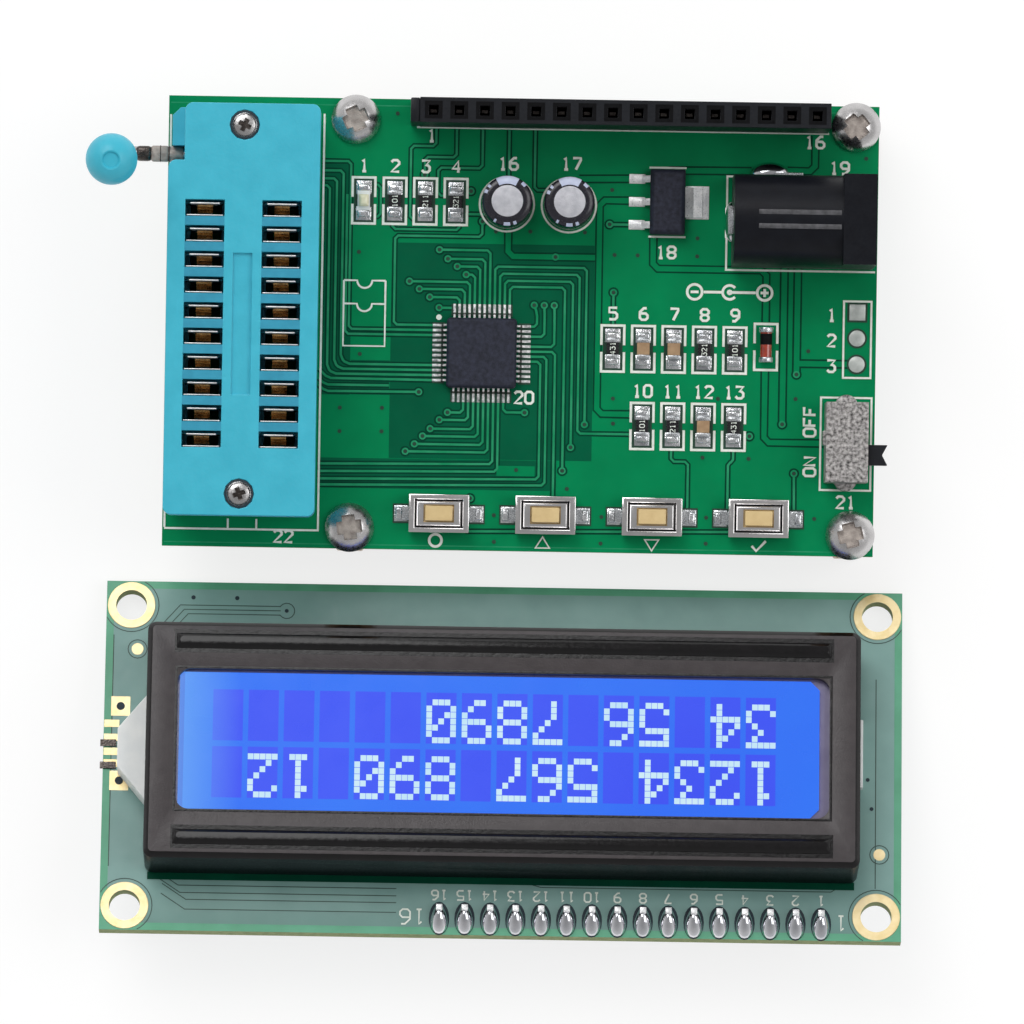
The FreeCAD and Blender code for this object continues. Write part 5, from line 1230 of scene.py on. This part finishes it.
def bezel():
    """The bezel with a satin face, and glossy edges, sides and ribs in darker copies of its paint, which are
    painted shade. Each rib stands in a dark groove, a band of painted shade.
    """
    bm = cad_mesh("display_bezel")
    to_local, out = DISPLAY.inverted(), DISPLAY.col[2].to_3d()

    def on_rib(edge):
        return max((to_local @ vert.co).z for vert in edge.verts) > BEZEL_FACE + 0.3

    round_edges(bm, [edge for edge in edges_along(bm, out) if on_rib(edge)], 0.5)
    round_edges(bm, [edge for edge in bm.edges if edge.calc_face_angle(0) > 1.0 and on_rib(edge)], 0.3)
    soften(bm, 0.1)
    # Painted shade: the flat face keeps the satin paint, while the walls and the rounded edges and ribs take
    # darker copies of it.
    for face in bm.faces:
        level, lean = (to_local @ face.calc_center_median()).z, face.normal.dot(out)
        flat = lean > 0.95 and abs(level - BEZEL_FACE) < 0.05
        face.material_index = 0 if flat else 2 if abs(lean) < 0.3 and level < BEZEL_FACE - 0.6 else 1
    stand_in("display_bezel", bm, BEZEL, RIB_SHADE, GLOSS_BLACK)
    # Painted shadow: a dark green strip on the board along the bezel's foot.
    on_display("bezel_foot_shade", stamped(plate(70.6, 0.8), [at(0, -12.4)]), MASK_GAP_AND_SHADE, 5 * LAYER)
    # Painted shade: dark bands round the ribs and round the window.
    groove_shade = stamped(plate(65.8, 2.4), [at(0, y) for y in (10.05, -10.05)])
    window_groove = 0.25
    window = frame_round(at(0, 0), 32.65, 7.35, window_groove)
    stamp(groove_shade, ribbon_mesh(window, window_groove), [Matrix()])
    add_to("display_bezel", "bezel_groove_shade", groove_shade, RIB_SHADE, DISPLAY @ at(0, 0, BEZEL_FACE + LAYER))
    add_to("display_backlight", "backlight_edge", block((0.45, 7.0, 1.2), 0.1), WHITE,
           DISPLAY @ at(35.85, 1.0, 0.65))


bezel()
display_text()
display_board_trim()
display_joints()

# Plain nodes, each with its finish and the size of its rounded edges

PLAIN_FINISHES = {
    "socket_base": (TEAL, 0.15), "socket_cover": (TEAL, 0.12), "socket_slider": (TEAL, 0.0),
    "lever_rod": (LEVER_STEEL, 0.0), "display_header": (BLACK, 0.06), "header_contacts": (DARK_METAL, 0.0),
    "jack_housing": (GLOSS_BLACK, 0.2), "jack_pin": (TINNED, 0.05), "jack_terminals": (TINNED, 0.04),
    "switch_shell": (SWITCH_STEEL, 0.1), "switch_base": (BLACK, 0.06), "switch_terminals": (TINNED, 0.0),
    "switch_knob": (BLACK, 0.1), "button_bases": (BLACK, 0.05), "button_domes": (TINNED, 0.0),
    "button_terminals": (TINNED, 0.03), **{f"button_plunger_{number}": (TAN, 0.1) for number in range(1, 5)},
    "capacitor_bungs": (RUBBER, 0.0), "capacitor_leads": (TINNED, 0.0), "regulator_body": (RESIN, 0.12),
    "regulator_leads": (BRIGHT, 0.04), "chip_resistor_bodies": (RESISTOR, 0.03),
    "chip_resistor_ends": (TINNED, 0.05), "chip_capacitor_bodies": (CERAMIC, 0.04),
    "chip_capacitor_ends": (TINNED, 0.05), "indicator_base": (WHITE, 0.04), "indicator_lens": (LENS, 0.08),
    "diode_glass": (RED_GLASS, 0.0), "diode_ends": (TINNED, 0.05), "display_backlight": (WHITE, 0.1),
    "display_glass": (BARE_GLASS, 0.0), "display_rubber_strips": (RUBBER, 0.0),
    "display_polarizer": (FILM, 0.0), "backlight_straps": (DARK_METAL, 0.03),
    "driver_chip_drops": (RESIN, 0.0), "display_pin_strip": (BLACK, 0.06), "display_pins": (BRIGHT, 0.04),
}

for node, (material, round_over) in PLAIN_FINISHES.items():
    finish_node(node, material, round_over)


PILLAR_TRIM = 0.87


def pillars():
    """The hex pillars, a little slimmer than their blanks, so that the board hides them from above."""
    bm = cad_mesh("hex_pillars")
    centres = [middle(box) for box in solid_boxes("hex_pillars")]
    for vert in bm.verts:
        centre = min(centres, key=lambda spot: (vert.co - spot).xy.length)
        vert.co.xy = centre.xy + (vert.co - centre).xy * PILLAR_TRIM
    soften(bm, 0.15)
    stand_in("hex_pillars", bm, BRASS)


pillars()


# Light, floor and camera

def soft_world():
    """A bright horizon that dims towards the top, as round a camera that looks down."""
    world = bpy.data.worlds.new("studio")
    bpy.context.scene.world = world
    tree = empty_tree(world)
    direction = add_node(tree, "TexCoord").outputs["Generated"]
    height = add_node(tree, "SeparateXYZ", {0: direction}).outputs["Z"]
    level = add_node(tree, "MapRange", {"Value": height, "To Min": 0.7, "To Max": 0.32})
    sky = add_node(tree, "Background", {"Color": (1, 1, 1, 1), "Strength": level.outputs[0]})
    add_node(tree, "OutputWorld", {"Surface": sky.outputs[0]})


def soft_box(name, place, size, power):
    light = bpy.data.lights.new(name, "AREA")
    light.shape, light.size, light.energy = "SQUARE", size, power
    obj = bpy.data.objects.new(name, light)
    obj.location = place
    obj.rotation_euler = (-Vector(place)).to_track_quat("-Z", "Y").to_euler()
    bpy.context.collection.objects.link(obj)
    return obj


def pale_floor():
    """A floor that looks white and keeps a light shadow."""
    material = bpy.data.materials.new("pale_floor")
    tree = empty_tree(material)
    rays = add_node(tree, "LightPath").outputs
    seen = rays["Is Camera Ray"]
    for kind in ("Is Glossy Ray", "Is Transmission Ray"):
        seen = add_node(tree, "Math", {0: seen, 1: rays[kind]}, operation="MAXIMUM").outputs[0]
    share = add_node(tree, "Math", {0: seen, 1: 0.7}, operation="MULTIPLY")
    cloth = add_node(tree, "BsdfDiffuse", {"Color": (0.9, 0.9, 0.9, 1)})
    glow = add_node(tree, "Emission", {"Color": (1, 1, 1, 1), "Strength": 1.08})
    both = add_node(tree, "MixShader", {0: share.outputs[0], 1: cloth.outputs[0], 2: glow.outputs[0]})
    add_node(tree, "OutputMaterial", {"Surface": both.outputs[0]})
    bm = bmesh.new()
    bmesh.ops.create_grid(bm, x_segments=1, y_segments=1, size=2.0)
    floor = as_object("floor", bm)
    floor.data.materials.append(material)
    return floor


soft_world()
lights = [soft_box("key_light", (-0.4, 0.75, 0.95), 0.8, 8.0),
          soft_box("fill_light", (0.75, 0.1, 0.85), 0.7, 3.8)]
pale_floor()

camera = bpy.data.objects.new("camera", bpy.data.cameras.new("camera"))
camera.data.lens, camera.data.sensor_width = 369.85, 36.0
camera.location = Vector((-16.106, -40.569, 1060.0)) * MM
camera.rotation_euler = (0.0208, -0.0073, 0.0161)
bpy.context.collection.objects.link(camera)
bpy.context.scene.camera = camera
bpy.context.scene.view_settings.view_transform = "Standard"
